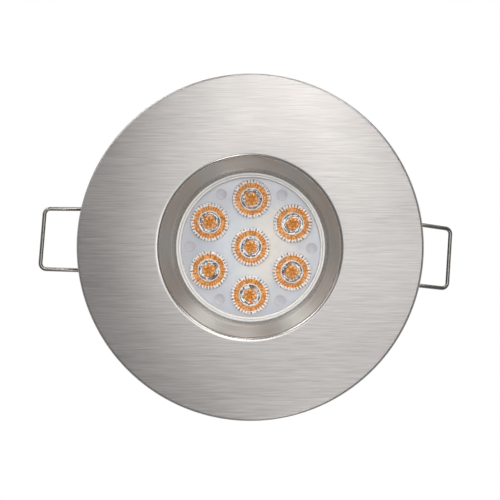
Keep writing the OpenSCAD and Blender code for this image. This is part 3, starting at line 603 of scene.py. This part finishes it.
def bezel_profile():
    """Section of the bezel: radius and height, from the face outwards, round the back and up the recess."""
    lip = radians(*range(0, 91, 9))
    return [
        *rounded([
            (MOUTH_R + LIP_R + 0.5, FACE_Z, 0),
            (FLANGE_R, FACE_Z, EDGE_R),
            (FLANGE_R, FLANGE_Z, 0.25),
            (SPIGOT_R + SPIGOT_STEP, FLANGE_Z, 0),
            (SPIGOT_R + SPIGOT_STEP, 0, 0.1),
            (SPIGOT_R, 0, 0),
            (SPIGOT_R, SPIGOT_H, 0.4),
            (SPIGOT_R - SPIGOT_WALL, SPIGOT_H, 0.4),
            (SPIGOT_R - SPIGOT_WALL, FLANGE_Z, 0.8),
            (SKIRT_R, FLANGE_Z, 0.8),
            (SKIRT_R, SINK_Z, 0.2),
            (POCKET_R, SINK_Z, 0.2),
            (POCKET_R, SEAT_Z, 0),
            (APERTURE_R, SEAT_Z, 0.15),
            (APERTURE_R, SHELF_Z, 0),
        ], closed=False),
        *recess_wall(),
        *[(MOUTH_R + LIP_R * (1 - math.cos(a)), FACE_Z + LIP_R * (1 - math.sin(a))) for a in lip],
    ]


def recess_wall():
    """Points of the recess wall from its foot upwards, with its turned grooves."""
    foot = Vector(WALL_FOOT)
    along = (Vector((MOUTH_R, FACE_Z + LIP_R)) - foot).normalized()
    outward = Vector((-along.y, along.x))
    if outward.x < 0:
        outward = -outward
    points = []
    for step in WALL_GROOVES:
        for shift, depth in ((0.0, 0.0), (WALL_GROOVE_W / 2, WALL_GROOVE_T), (WALL_GROOVE_W, 0.0)):
            points.append(tuple(foot + along * (step + shift) + outward * depth))
    return points


BEZEL_LOOKS = ("face", "turned", "lip", "cast", "foot")


def bezel_zone(centre):
    """Material of a bezel face, by its place in BEZEL_LOOKS."""
    radius = math.hypot(centre.x, centre.y)
    if radius > MOUTH_R + LIP_R + 0.2 and centre.z < FLANGE_Z - 0.3:
        return 0
    if radius > MOUTH_R - 0.05 and centre.z < FLANGE_Z:
        return 2
    if radius < MOUTH_R and centre.z < SEAT_Z + 0.1:
        # the foot band takes the darker material, painted shade in the corner of the recess
        return 4 if radius < FOOT_R + FOOT_SHADE_BAND else 1
    return 3


def add_pads(bm, inner, low_z, high_z, bevel):
    """The flat pads for the two spring brackets, on both sides."""
    for side in (1, -1):
        ends = sorted((side * inner, side * PAD_X))
        add_block(bm, (ends[0], -PAD_HALF, low_z), (ends[1], PAD_HALF, high_z), bevel)


def make_bezel():
    bm = bmesh.new()
    add_lathe(bm, bezel_profile(), count=256)
    add_pads(bm, SKIRT_R - PAD_SINK, FLANGE_Z - 0.2, SINK_Z, 0.25)
    make_piece("bezel", bm, looks(*BEZEL_LOOKS), ["front_bezel"], sharp=30, rule=bezel_zone)


def make_gaskets():
    bm = bmesh.new()
    inner = SPIGOT_R + SPIGOT_STEP + SLIP
    add_lathe(bm, rounded([(inner, 0, 0.2), (GASKET_R, 0, 0.35), (GASKET_R, FLANGE_Z, 0.35),
                           (inner, FLANGE_Z, 0.2)]), count=192)
    make_piece("foam_gasket", bm, looks("foam"), ["ceiling_gasket"])

    bm = bmesh.new()
    inner = HOLDER_RIM_R + SLIP
    add_lathe(bm, rounded([
        (inner, SHOULDER_Z, 0), (HOLDER_OUT_R, SHOULDER_Z, 0.1), (HOLDER_OUT_R, SEAT_Z, 0.1),
        (SEAL_BEAD_R, SEAT_Z, 0), (SEAL_BEAD_R, SEAL_BEAD_Z, 0.16), (inner, SEAL_BEAD_Z, 0.3),
    ]), count=160)
    make_piece("lens_seal", bm, looks("silicone"), ["lens_gasket"])


def make_holder():
    bm = bmesh.new()
    groove_r = LENS_RIM_R + 1.5 * SLIP
    groove_z = PLATE_BACK_Z - LENS_RIM_T
    add_lathe(bm, rounded([
        (HOLDER_IN_R + HOLDER_SLANT, HOLDER_RIM_Z, 0.2), (HOLDER_RIM_R, HOLDER_RIM_Z, 0.2),
        (HOLDER_RIM_R, SHOULDER_Z, 0),
        (HOLDER_OUT_R, SHOULDER_Z, 0.15), (HOLDER_OUT_R, BOARD_Z, 0.15), (groove_r, BOARD_Z, 0.15),
        (groove_r, groove_z, 0), (HOLDER_IN_R, groove_z, 0), (HOLDER_IN_R, PLATE_Z, 0),
    ]), count=160)
    make_piece("holder", bm, looks("holder"), ["lens_holder"])


# ---------- lens plate ----------

EYE_R = 1.95             # amber middle
EYE_WAVE = 0.2           # depth of its scalloped outline
EYE_BUMPS = 6
EYE_DARK_R = (0.6, 1.2)  # painted shade in the dips of that outline
EYE_SPOT_R = (1.2, 1.7)  # painted highlights on its lobes
SHARDS_R = 2.75          # shards round it, painted pale with glints and reflections
CRYSTAL_R = 3.3          # shards round those, painted mostly dark with reflections
RIM_OUT_R = 3.55         # rim of the pocket, with a painted glint
STRIPE_R = 4.0           # where the amber ring's stripes of painted shade begin to follow the valleys of the teeth
AMBER_OUT_R = 5.15       # amber ring
GAP_R = 5.6              # amber reaches this far between the teeth
TOOTH_R = 6.1            # tips of the collar's teeth
TEETH = 36               # teeth of the knurled collar
LENS_STEPS = TEETH * 4
LENS_KEYS = ("plate", "white", "grey", "dark", "amber", "amber_painted_shade", "eye", "eye_painted_highlight", "mark")

# heights in front of the plate, each with how far it rises from there
EYE_H, EYE_SWELL, EYE_BUMP, EYE_DIMPLE = 0.3, 0.4, 0.14, 0.2
SHARDS_H, SHARDS_RISE = 0.2, 0.4
RIM_H = 0.72
AMBER_H, AMBER_RISE = 0.5, 0.12
COLLAR_H, TOOTH_LOW, TOOTH_RISE = 0.06, 0.25, 0.5

# painted glints and reflections that the shards show, with their chances, and how many go round the lens
PAINTED_PALE_SHARDS = {"white": 0.3, "grey": 0.3, "eye": 0.2, "dark": 0.2}, 34
PAINTED_DARK_SHARDS = {"dark": 0.6, "grey": 0.15, "white": 0.25}, 30


def lens_radii():
    """Radii of the rows of a lens face, close together where its form changes."""
    return [*np.linspace(0.15, EYE_R + EYE_WAVE + 0.05, 11), 2.48, SHARDS_R, 3.05, CRYSTAL_R,
            CRYSTAL_R + 0.06, RIM_OUT_R - 0.04, RIM_OUT_R + 0.06, STRIPE_R, 4.6, AMBER_OUT_R, 5.35, GAP_R,
            5.85, TOOTH_R, 6.2, LENS_R]


def lens_height(radius, angle, turn, jitter):
    """How far a lens face stands in front of the plate, in millimetres."""
    if radius <= EYE_R + EYE_WAVE:
        swell = EYE_SWELL * math.sqrt(max(0.0, 1 - (radius / (EYE_R + EYE_WAVE + 0.05)) ** 2))
        lobe = math.cos(EYE_BUMPS * (angle + turn))
        bumps = EYE_BUMP * lobe * math.sin(math.pi * min(1, radius / EYE_R)) ** 2
        return EYE_H + swell + bumps - EYE_DIMPLE * math.exp(-((radius / 0.5) ** 2))
    if radius <= CRYSTAL_R:
        return SHARDS_H + SHARDS_RISE * jitter
    if radius <= RIM_OUT_R:
        return RIM_H
    wave = abs((TEETH * angle / (2 * math.pi)) % 1.0 * 2 - 1)
    if radius <= AMBER_OUT_R:
        return AMBER_H + AMBER_RISE * wave * min(1.0, (radius - RIM_OUT_R) / 1.5)
    fade = min(1.0, (LENS_R + 0.05 - radius) / 0.5)
    return COLLAR_H + (TOOTH_LOW + TOOTH_RISE * wave) * fade


def shards(chances, count):
    """A row of glass shards of uneven width: the material of each step round the lens, a painted glint or
    reflection.
    """
    bounds = np.sort(RANDOM.uniform(0, LENS_STEPS, count))
    names = list(chances)
    picks = RANDOM.choice(len(names), count + 1, p=list(chances.values()))
    return [names[picks[int(np.searchsorted(bounds, i))]] for i in range(LENS_STEPS)]


def lens_material(radius, step, turn, pale, dark, deep, light):
    """Material of a face of a lens, by its radius and its place round the lens. White paints glints, grey
    and dark paint reflections, the darker amber paints shade and the pale amber spots paint highlights.
    """
    angle = 2 * math.pi * step / LENS_STEPS
    tooth = step // 4
    ridge = step % 4 in (0, 3)
    lobe = math.cos(EYE_BUMPS * (angle + turn))
    if radius < EYE_R + EYE_WAVE * lobe:
        if EYE_DARK_R[0] < radius < EYE_DARK_R[1] and lobe < -0.4:
            return "amber_painted_shade"
        return "eye_painted_highlight" if EYE_SPOT_R[0] < radius < EYE_SPOT_R[1] and lobe > 0.5 else "eye"
    if radius < SHARDS_R:
        return pale[step]
    if radius < CRYSTAL_R:
        return dark[step]
    if radius < RIM_OUT_R + 0.03:
        return "white"
    if radius < AMBER_OUT_R:
        valley = tooth % 2 == 0 if radius < STRIPE_R else not ridge
        return "amber_painted_shade" if tooth in deep or (valley and tooth not in light) else "amber"
    if radius < GAP_R:
        return "white" if ridge or tooth in light else "amber"
    if ridge or tooth in light:
        return "white" if radius < TOOTH_R else "plate"
    return "dark" if tooth in deep and radius < TOOTH_R - 0.25 else "grey"


def add_lens(bm, place, turn):
    """One lens face with its collar, and the cone that gathers the LED's light behind it."""
    radii = lens_radii()
    rows = []
    for radius in radii:
        coarse = RANDOM.uniform(-0.28, 0.28, LENS_STEPS // 8)
        row = []
        for i in range(LENS_STEPS):
            angle = 2 * math.pi * i / LENS_STEPS
            z = PLATE_Z - lens_height(radius, angle, turn, coarse[i // 8])
            row.append((radius * math.cos(angle), radius * math.sin(angle), z))
        rows.append(row)
    back = [(LENS_R, PLATE_Z + 0.3), (LENS_R - 0.4, PLATE_BACK_Z), (LENS_TAIL_R, LENS_TAIL_Z),
            (LENS_BORE_R, LENS_TAIL_Z)]
    rows += [ring(r, z, LENS_STEPS) for r, z in back]
    faces = add_loft(bm, rows, place)
    pale_rows = [shards(*PAINTED_PALE_SHARDS) for _ in range(3)]
    dark_rows = [shards(*PAINTED_DARK_SHARDS) for _ in range(2)]
    for k in range(len(radii) - 1):
        middle = (radii[k] + radii[k + 1]) / 2
        # teeth picked at random for painted shade or dark reflections (deep) and painted glints (light)
        mixed = RANDOM.permutation(TEETH).tolist()
        deep, light = set(mixed[:TEETH // 4]), set(mixed[TEETH // 4:TEETH // 2])
        for i in range(LENS_STEPS):
            name = lens_material(middle, i, turn, pale_rows[k % 3], dark_rows[k % 2], deep, light)
            faces[k * LENS_STEPS + i].material_index = LENS_KEYS.index(name)
    faces[-2].material_index = LENS_KEYS.index("eye")


LENS_ANGLES = [a + ENGINE_TURN for a in radians(90, 150, 210, 270, 330, 390)]
FOOT_ANGLES = [a + math.radians(30) for a in LENS_ANGLES]


def make_lens_plate():
    bm = bmesh.new()
    rim_z = PLATE_BACK_Z - LENS_RIM_T
    add_lathe(bm, rounded([
        (0.5, PLATE_Z, 0), (LENS_FACE_R, PLATE_Z, 0.2), (LENS_FACE_R, rim_z, 0), (LENS_RIM_R, rim_z, 0.1),
        (LENS_RIM_R, PLATE_BACK_Z, 0.1), (0.5, PLATE_BACK_Z, 0),
    ], closed=False), count=160, closed=False)
    shift = Matrix.Translation((0, -LENS_SHIFT, 0))
    add_lens(bm, shift, 0.3)
    for i, angle in enumerate(LENS_ANGLES):
        add_lens(bm, shift @ turned(angle, LENS_PITCH), 0.9 * i)
    face_z = PLATE_Z - FOOT_DIP
    foot = [(0.2, face_z), (FOOT_MARK_R - 0.2, face_z), (FOOT_MARK_R - 0.12, PLATE_Z - 0.05),
            (FOOT_MARK_R, PLATE_Z - 0.01), (FOOT_MARK_R, PLATE_BACK_Z), (FOOT_MARK_R - 0.1, BOARD_Z),
            (0.2, BOARD_Z)]
    for angle in FOOT_ANGLES:
        for face in add_lathe(bm, foot, count=40, place=turned(angle, FOOT_PITCH), closed=False):
            face.material_index = LENS_KEYS.index("mark")
    make_piece("lens_optics", bm, looks(*LENS_KEYS), ["lens_plate"], sharp=28)


# ---------- heat sink ----------


def make_heat_sink():
    bm = bmesh.new()
    add_lathe(bm, rounded([
        (1.0, SINK_Z, 0), (SKIRT_R, SINK_Z, 0.3), (SKIRT_R, FIN_Z, 0.5), (CORE_R, FIN_Z, 0.8),
        (CORE_R, SINK_TOP_Z, 0.5), (1.0, SINK_TOP_Z, 0),
    ], closed=False), count=128, closed=False)
    root_r, root_z = CORE_R - FIN_ROOT, FIN_Z - FIN_ROOT
    outline = [(root_r, root_z, 0), (FIN_R, root_z, 0), (FIN_R, SINK_TOP_Z, 1.2), (root_r, SINK_TOP_Z, 0)]
    for i in range(FIN_COUNT):
        upright = turned(2 * math.pi * (i + 0.5) / FIN_COUNT) @ Matrix.Rotation(math.pi / 2, 4, "X")
        add_prism(bm, rounded(outline), -FIN_T / 2, FIN_T / 2, upright, bevel=0.35)
    add_pads(bm, BRACKET_PAD_R, SINK_Z, max(BRACKET_PAD_Z, BRACKET_TOP_Z), 0.3)
    make_piece("sink_casting", bm, looks("aluminium"), ["heat_sink"], sharp=32)


# ---------- screws and pins ----------


def add_screw(bm, place, shank_r, bite, head_r, head_h):
    """Pan head screw with a hexagon socket. Its head stands above z = 0, its shank below."""
    count = 48
    dome = [(head_r, 0.45 * head_h), (0.94 * head_r, 0.72 * head_h), (0.8 * head_r, 0.92 * head_h),
            (0.62 * head_r, head_h)]
    rings = [ring(shank_r, -bite, count), ring(shank_r, 0, count), ring(head_r, 0, count)]
    rings += [ring(r, z, count) for r, z in dome]
    rings += [ring(0.52 * head_r, head_h, count, 6), ring(0.48 * head_r, 0.92 * head_h, count, 6),
              ring(0.48 * head_r, 0.4 * head_h, count, 6), ring(0.05, 0.36 * head_h, count)]
    add_loft(bm, rings, place)


def make_screws():
    groups = {
        "bezel": ([turned(a, BEZEL_FIX_R, FIN_Z) for a in BEZEL_FIX_ANGLES], SCREW),
        "cover": ([turned(a, COVER_FIX_R, COVER_TOP_Z) for a in COVER_FIX_ANGLES], SMALL_SCREW),
        "bracket": ([Matrix.Translation((side * (PAD_X + SHEET_T), 0, BRACKET_FIX_Z))
                     @ Matrix.Rotation(side * math.pi / 2, 4, "Y") for side in (1, -1)], SCREW),
    }
    for name, (places, size) in groups.items():
        bm = bmesh.new()
        for place in places:
            add_screw(bm, place, *size)
        make_piece(f"{name}_fixings", bm, looks("screw"), [f"{name}_screws"])


def make_pin(side_name, side):
    """Pivot pin along Y with two domed, dimpled heads."""
    bm = bmesh.new()
    shoulder = PIN_HALF - PIN_HEAD_T
    half = [(PIN_R, shoulder), (PIN_HEAD_R, shoulder), (PIN_HEAD_R, PIN_HALF - 0.45),
            (PIN_HEAD_R - 0.35, PIN_HALF - 0.1), (PIN_HEAD_R - 0.9, PIN_HALF), (0.9, PIN_HALF),
            (0.5, PIN_HALF - 0.25), (0.08, PIN_HALF - 0.35)]
    profile = [(r, -z) for r, z in reversed(half)] + half
    place = Matrix.Translation((side * PIVOT_X, 0, PIVOT_Z)) @ Matrix.Rotation(-math.pi / 2, 4, "X")
    add_lathe(bm, profile, count=48, place=place, closed=False)
    make_piece(f"pin_{side_name}", bm, looks("screw"), [f"pivot_pin_{side_name}"])


# ---------- brackets and spring wire ----------


def make_bracket(side_name, side):
    """Sheet steel plate with two ears for the pivot pin."""
    bm = bmesh.new()
    upright = Matrix.Rotation(math.pi / 2, 4, "X")
    plate = [(-BRACKET_HALF, BRACKET_LOW_Z, 0.6), (BRACKET_HALF, BRACKET_LOW_Z, 0.6),
             (BRACKET_HALF, BRACKET_TOP_Z, 2.0), (-BRACKET_HALF, BRACKET_TOP_Z, 2.0)]
    across = Matrix(((0, 0, 1, 0), (1, 0, 0, 0), (0, 1, 0, 0), (0, 0, 0, 1)))
    low, high = sorted((side * PAD_X, side * (PAD_X + SHEET_T)))
    add_prism(bm, rounded(plate), low, high, across, bevel=SHEET_BEVEL)
    root, tip = side * (PAD_X + EAR_SINK), side * PIVOT_X
    nose = [(tip + side * EAR_R * math.cos(a), PIVOT_Z + EAR_R * math.sin(a))
            for a in radians(*range(-90, 91, 10))]
    ear = [(root, PIVOT_Z - EAR_ROOT), *nose, (root, PIVOT_Z + EAR_ROOT)]
    for y in (-EAR_HALF_GAP, EAR_HALF_GAP + SHEET_T):
        add_prism(bm, ear, -y, -y + SHEET_T, upright, bevel=SHEET_BEVEL)
    make_piece(f"sheet_{side_name}", bm, looks("zinc"), [f"bracket_{side_name}"])


def coil_wrap(slant):
    """Angle of wire wound between the fixed leg and the arm."""
    return 2 * math.pi * COIL_TURNS + math.pi / 2 - slant


def inner_y(slant):
    """Sideways place of a coil's inner end."""
    return ARM_Y - COIL_PITCH * coil_wrap(slant) / (2 * math.pi)


def coil_exit(clip, hand):
    """Where the wire leaves the coil, above the pivot."""
    slant = clip["slant"]
    return Vector((PIVOT_X - COIL_R * math.sin(slant), hand * ARM_Y + clip["play"],
                   PIVOT_Z + COIL_R * math.cos(slant)))


def bar_corner(clip, hand):
    """Sharp corner between an arm and the end bar."""
    slant = clip["slant"]
    reach = ARM_LEN + hand * clip["lean"] / 2
    return Vector((
        PIVOT_X - COIL_R * math.sin(slant) + reach * math.cos(slant),
        hand * BAR_Y + clip["play"] + clip["run"],
        PIVOT_Z + COIL_R * math.cos(slant) + reach * math.sin(slant),
    ))


def arm_start(clip, hand):
    """Point one wire diameter along the arm, where the coil hands over to the clip."""
    first = coil_exit(clip, hand)
    return first + 2 * WIRE_R * (bar_corner(clip, hand) - first).normalized()


def coil_route(clip, hand):
    """Fixed leg, coil and first stretch of the arm."""
    slant, play = clip["slant"], clip["play"]
    wrap, start_y = coil_wrap(slant), inner_y(slant)
    route = [Vector((PIVOT_X - COIL_R, hand * start_y + play, LEG_Z)),
             Vector((PIVOT_X - COIL_R, hand * start_y + play, PIVOT_Z - 2 * WIRE_R))]
    for k in range(COIL_STEPS + 1):
        phi = math.pi - wrap * k / COIL_STEPS
        y = hand * (start_y + (ARM_Y - start_y) * k / COIL_STEPS) + play
        route.append(Vector((PIVOT_X + COIL_R * math.cos(phi), y, PIVOT_Z + COIL_R * math.sin(phi))))
    return route + [arm_start(clip, hand)]


def loop_route(clip):
    """The open loop: arm, bend, end bar, bend, arm."""
    a, d = arm_start(clip, 1), arm_start(clip, -1)
    b, c = bar_corner(clip, 1), bar_corner(clip, -1)
    return [a, *bend(a, b, c, BEND_R, BEND_STEPS), *bend(b, c, d, BEND_R, BEND_STEPS), d]


def on_side(points, side):
    """A route drawn for the right side, mirrored for the left one."""
    return [Vector((side * p.x, p.y, p.z)) for p in points]


def make_clip(side_name, clip):
    side = clip["side"]
    bm = bmesh.new()
    normal = Vector((-side * math.sin(clip["slant"]), 0, math.cos(clip["slant"])))
    add_tube(bm, on_side(loop_route(clip), side), WIRE_R, normal)
    make_piece(f"wire_loop_{side_name}", bm, looks("wire"), [f"spring_clip_{side_name}"],
               f"{side_name}_clip", sharp=60)
    for hand, hand_name in ((1, "rear"), (-1, "front")):
        bm = bmesh.new()
        add_tube(bm, on_side(coil_route(clip, hand), side), WIRE_R, Vector((0, 1, 0)))
        coil = make_piece(f"wire_coil_{side_name}_{hand_name}", bm, looks("wire"),
                          [f"spring_coil_{side_name}"], body=None, sharp=60)
        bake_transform(coil)


# ---------- driver housing and cable gland ----------


def make_driver_case():
    bm = bmesh.new()
    inner_r = HOUSING_R - HOUSING_WALL
    add_lathe(bm, rounded([
        (0.5, HOUSING_Z, 0), (HOUSING_R, HOUSING_Z, 1.2), (HOUSING_R, CASE_GROOVE_Z - CASE_GROOVE_T, 0.1),
        (HOUSING_R - CASE_GROOVE_T, CASE_GROOVE_Z, 0), (HOUSING_R, CASE_GROOVE_Z + CASE_GROOVE_T, 0.1),
        (HOUSING_R, HOUSING_TOP_Z, 0.3), (inner_r, HOUSING_TOP_Z, 0.3),
        (inner_r, HOUSING_Z + HOUSING_WALL, 0.8), (0.5, HOUSING_Z + HOUSING_WALL, 0),
    ], closed=False), count=160, closed=False)
    make_piece("driver_case", bm, looks("housing"), ["driver_housing"], sharp=40)

    bm = bmesh.new()
    dish_z = COVER_TOP_Z - COVER_DISH_T
    add_lathe(bm, rounded([
        (GLAND_NECK_R + SLIP, COVER_Z, 0), (HOUSING_R, COVER_Z, 0.3), (HOUSING_R, COVER_TOP_Z, 1.0),
        (COVER_DISH_OUT_R, COVER_TOP_Z, 0), (COVER_DISH_OUT_R - COVER_DISH_T, dish_z, 0),
        (GLAND_DISH_R + COVER_DISH_T, dish_z, 0), (GLAND_DISH_R, COVER_TOP_Z, 0),
        (GLAND_NECK_R + SLIP, COVER_TOP_Z, 0),
    ]), count=160)
    spot_z = COVER_TOP_Z - SPOT_T
    spot = rounded([(0.3, spot_z, 0), (SPOT_R, spot_z, 0), (SPOT_R, COVER_TOP_Z, 0.25),
                    (0.3, COVER_TOP_Z, 0)], closed=False)
    for angle in COVER_FIX_ANGLES:
        add_lathe(bm, spot, count=40, place=turned(angle, COVER_FIX_R), closed=False)
    make_piece("case_cover", bm, looks("housing"), ["rear_cover"], sharp=40)


def make_gland():
    def turn(radius, z, sides=0):
        return ring(radius, z, 96, sides)

    bm = bmesh.new()
    hex_top = COVER_TOP_Z + GLAND_HEX_H
    add_loft(bm, [
        turn(GLAND_BORE_R, GLAND_LOW_Z), turn(GLAND_NECK_R - 0.3, GLAND_LOW_Z),
        turn(GLAND_NECK_R, GLAND_LOW_Z + 0.3), turn(GLAND_NECK_R, COVER_TOP_Z),
        turn(GLAND_HEX_R * 0.93, COVER_TOP_Z), turn(GLAND_HEX_R, COVER_TOP_Z + HEX_BREAK, 6),
        turn(GLAND_HEX_R, hex_top - HEX_BREAK, 6), turn(GLAND_HEX_R * 0.85, hex_top),
        turn(GLAND_NECK_R, hex_top), turn(GLAND_NECK_R, GLAND_HIGH_Z), turn(GLAND_INSIDE_R, GLAND_HIGH_Z),
        turn(GLAND_INSIDE_R, SEAL_LOW_Z), turn(GLAND_BORE_R, SEAL_LOW_Z),
    ], closed=True)
    make_piece("gland_base", bm, looks("nylon"), ["gland_body"], sharp=30)

    bm = bmesh.new()
    hex_top = NUT_LOW_Z + NUT_HEX_H
    crown_low = NUT_HIGH_Z - NUT_CROWN_H
    inner_r = GLAND_NECK_R + NUT_PLAY
    dome_r, dome_z = GLAND_HEX_R - 1.2, hex_top + 0.3
    wide, tall = GLAND_MOUTH_R - dome_r, NUT_HIGH_Z - dome_z
    crown = [turn(dome_r + wide * (1 - math.cos(a)), dome_z + tall * math.sin(a))
             for a in radians(*range(0, 91, 15))]
    add_loft(bm, [
        turn(inner_r, NUT_LOW_Z), turn(GLAND_HEX_R * 0.93, NUT_LOW_Z),
        turn(GLAND_HEX_R, NUT_LOW_Z + HEX_BREAK, 6), turn(GLAND_HEX_R, hex_top - HEX_BREAK, 6),
        turn(GLAND_HEX_R * 0.87, hex_top), *crown, turn(GLAND_BORE_R + 0.2, NUT_HIGH_Z),
        turn(GLAND_BORE_R, NUT_HIGH_Z - 0.2), turn(GLAND_BORE_R, crown_low), turn(inner_r, crown_low),
    ], closed=True)
    make_piece("gland_cap", bm, looks("nylon"), ["gland_nut"], sharp=30)

    bm = bmesh.new()
    outer = GLAND_INSIDE_R - SLIP
    add_lathe(bm, rounded([(CABLE_R, SEAL_LOW_Z, 0.2), (outer, SEAL_LOW_Z, 0.2), (outer, SEAL_HIGH_Z, 0.2),
                           (CABLE_R, SEAL_HIGH_Z, 0.5)]), count=64)
    make_piece("gland_grommet", bm, looks("rubber"), ["gland_seal"])


# ---------- CAD nodes that stay ----------

KEPT = {
    "led_board": "mask", "led_packages": "ceramic", "led_domes": "phosphor", "board_screws": "screw",
    "thermal_pad": "pad", "led_leads": "lead", "body_seal": "rubber", "housing_screws": "screw",
    "driver_board": "board", "driver_screws": "screw", "transformer": "ferrite", "capacitors": "sleeve",
    "inductor": "ferrite", "driver_chip": "chip", "terminal_block": "terminal", "terminal_screws": "screw",
    "cover_seal": "rubber", "gland_locknut": "nylon",
}


def dress_kept_nodes():
    for node, key in KEPT.items():
        for place in NODES[node].material_slots:
            place.material = MATERIALS[key]


# ---------- studio ----------

IMAGE_RIGHT = Vector((math.cos(IMAGE_TURN), -math.sin(IMAGE_TURN), 0))
IMAGE_DOWN = Vector((math.sin(IMAGE_TURN), math.cos(IMAGE_TURN), 0))
CAMERA_DISTANCE = 0.7
CAMERA_SIDE = math.radians(1.9)
VIEW_WIDTH = 0.1581  # width of the view at the face
VIEW_RIGHT = 0.0001  # middle of the view, from the middle of the face
VIEW_DOWN = 0.00088
SENSOR = 36.0
CLIP_START = 0.01


def aim(obj, place, target, up):
    """Points an object's -Z axis at a target."""
    back = (place - target).normalized()
    side = up.cross(back).normalized()
    turn = Matrix((side, back.cross(side), back)).transposed().to_4x4()
    obj.matrix_world = Matrix.Translation(place) @ turn


def make_camera():
    data = bpy.data.cameras.new("camera")
    data.sensor_width = SENSOR
    data.lens = SENSOR * CAMERA_DISTANCE / VIEW_WIDTH
    data.clip_start = CLIP_START
    camera = bpy.data.objects.new("camera", data)
    SCENE.collection.objects.link(camera)
    target = Vector((0, 0, FACE_Z * MM)) + VIEW_RIGHT * IMAGE_RIGHT + VIEW_DOWN * IMAGE_DOWN
    away = math.sin(CAMERA_SIDE) * IMAGE_RIGHT - math.cos(CAMERA_SIDE) * Vector((0, 0, 1))
    aim(camera, target + away * CAMERA_DISTANCE, target, -IMAGE_DOWN)
    SCENE.camera = camera


def make_lamp(name, right, down, z, side, power):
    """Soft square lamp at a place given in the view's directions, turned to the flange."""
    data = bpy.data.lights.new(name, "AREA")
    data.size = side
    data.energy = power
    lamp = bpy.data.objects.new(name, data)
    SCENE.collection.objects.link(lamp)
    place = right * IMAGE_RIGHT + down * IMAGE_DOWN + Vector((0, 0, z))
    aim(lamp, place, Vector((0, 0, 0)), -IMAGE_DOWN)
    lamp.visible_camera = False


FLOOR_R = 1600
FLOOR_Z = (-1200, -1210)     # its top and underside
WORLD_COLOUR = (0.95, 0.97, 1.0, 1)
WORLD_LEVEL = 0.44           # light of the world on dull surfaces
LOW_WORLD_LEVEL = 0.05       # what shiny surfaces see of it straight below
WORLD_SLOPE = (-0.55, 0.45)  # upward part of a direction where that level begins to rise and is full

# right, down and height in metres, side in metres, power in watts
LAMPS = {
    "lamp_front": (0.0, 0.0, -0.35, 0.15, 0.078),
    "lamp_right": (0.15, 0.0, -0.35, 0.15, 0.15),
    "lamp_top": (0.0, -0.15, -0.35, 0.15, 0.211),
    "lamp_top_spot": (0.04, -0.235, -0.26, 0.07, 0.144),
    "lamp_bottom_spot": (0.04, 0.235, -0.26, 0.07, 0.128),
    "lamp_low_right": (0.17, -0.275, -0.14, 0.12, 0.21),
    "lamp_low_left": (-0.19, -0.26, -0.14, 0.12, 0.239),
    "lamp_left": (-0.28, -0.16, -0.14, 0.14, 0.072),
    "lamp_brim": (0.0, -0.35, -0.03, 0.10, 0.094),
    "lamp_rear": (-0.35, -0.45, 0.65, 0.6, 5.0),
}


def make_studio():
    for name, settings in LAMPS.items():
        make_lamp(name, *settings)
    make_floor()
    make_world()


def mix_shaders(tree, share, first, second, output):
    """Shows the first shader where share is 0 and the second where it is 1."""
    mix = add_node(tree, "ShaderNodeMixShader")
    feed(tree, mix.inputs, (share, first, second))
    connect(tree, (mix, output))


def make_floor():
    """Pale round floor, far below the object. The camera sees it white."""
    bm = bmesh.new()
    add_loft(bm, [ring(FLOOR_R, z, 96) for z in FLOOR_Z])
    material = surface("floor", (0.55, 0.55, 0.545), 0.8, grain=8, tint=0.02, bump=0.0)
    tree = material.node_tree
    seen = add_node(tree, "ShaderNodeLightPath").outputs["Is Camera Ray"]
    mix_shaders(tree, seen, tree.nodes["Principled BSDF"], add_node(tree, "ShaderNodeEmission"),
                tree.nodes["Material Output"])
    make_piece("floor", bm, [material], body=None)


def make_world():
    """Even light. The camera sees white, and so do reflections behind and beside the object, less so
    below it."""
    world = bpy.data.worlds.new("world")
    SCENE.world = world
    world.use_nodes = True
    tree = world.node_tree
    light = tree.nodes["Background"]
    light.inputs["Color"].default_value = WORLD_COLOUR
    light.inputs["Strength"].default_value = WORLD_LEVEL
    white = add_node(tree, "ShaderNodeBackground", Strength=1.0)
    split = add_node(tree, "ShaderNodeSeparateXYZ")
    connect(tree, (add_node(tree, "ShaderNodeTexCoord").outputs["Generated"], split))
    level = spread_of(tree, split.outputs["Z"], LOW_WORLD_LEVEL, 1.0, *WORLD_SLOPE, curve="SMOOTHSTEP")
    rays = add_node(tree, "ShaderNodeLightPath").outputs
    connect(tree, (maths(tree, "MAXIMUM", level, rays["Is Camera Ray"]), white))
    seen = maths(tree, "MAXIMUM", rays["Is Camera Ray"], rays["Is Glossy Ray"])
    seen = maths(tree, "MAXIMUM", seen, rays["Is Transmission Ray"])
    mix_shaders(tree, seen, light, white, tree.nodes["World Output"])


# ---------- the whole ----------

make_camera()
make_bezel()
make_gaskets()
make_holder()
make_lens_plate()
make_heat_sink()
make_screws()
for clip_name, clip_data in CLIPS.items():
    make_pin(clip_name, clip_data["side"])
    make_bracket(clip_name, clip_data["side"])
    make_clip(clip_name, clip_data)
make_driver_case()
make_gland()
dress_kept_nodes()
make_studio()
SCENE.view_settings.view_transform = "Standard"
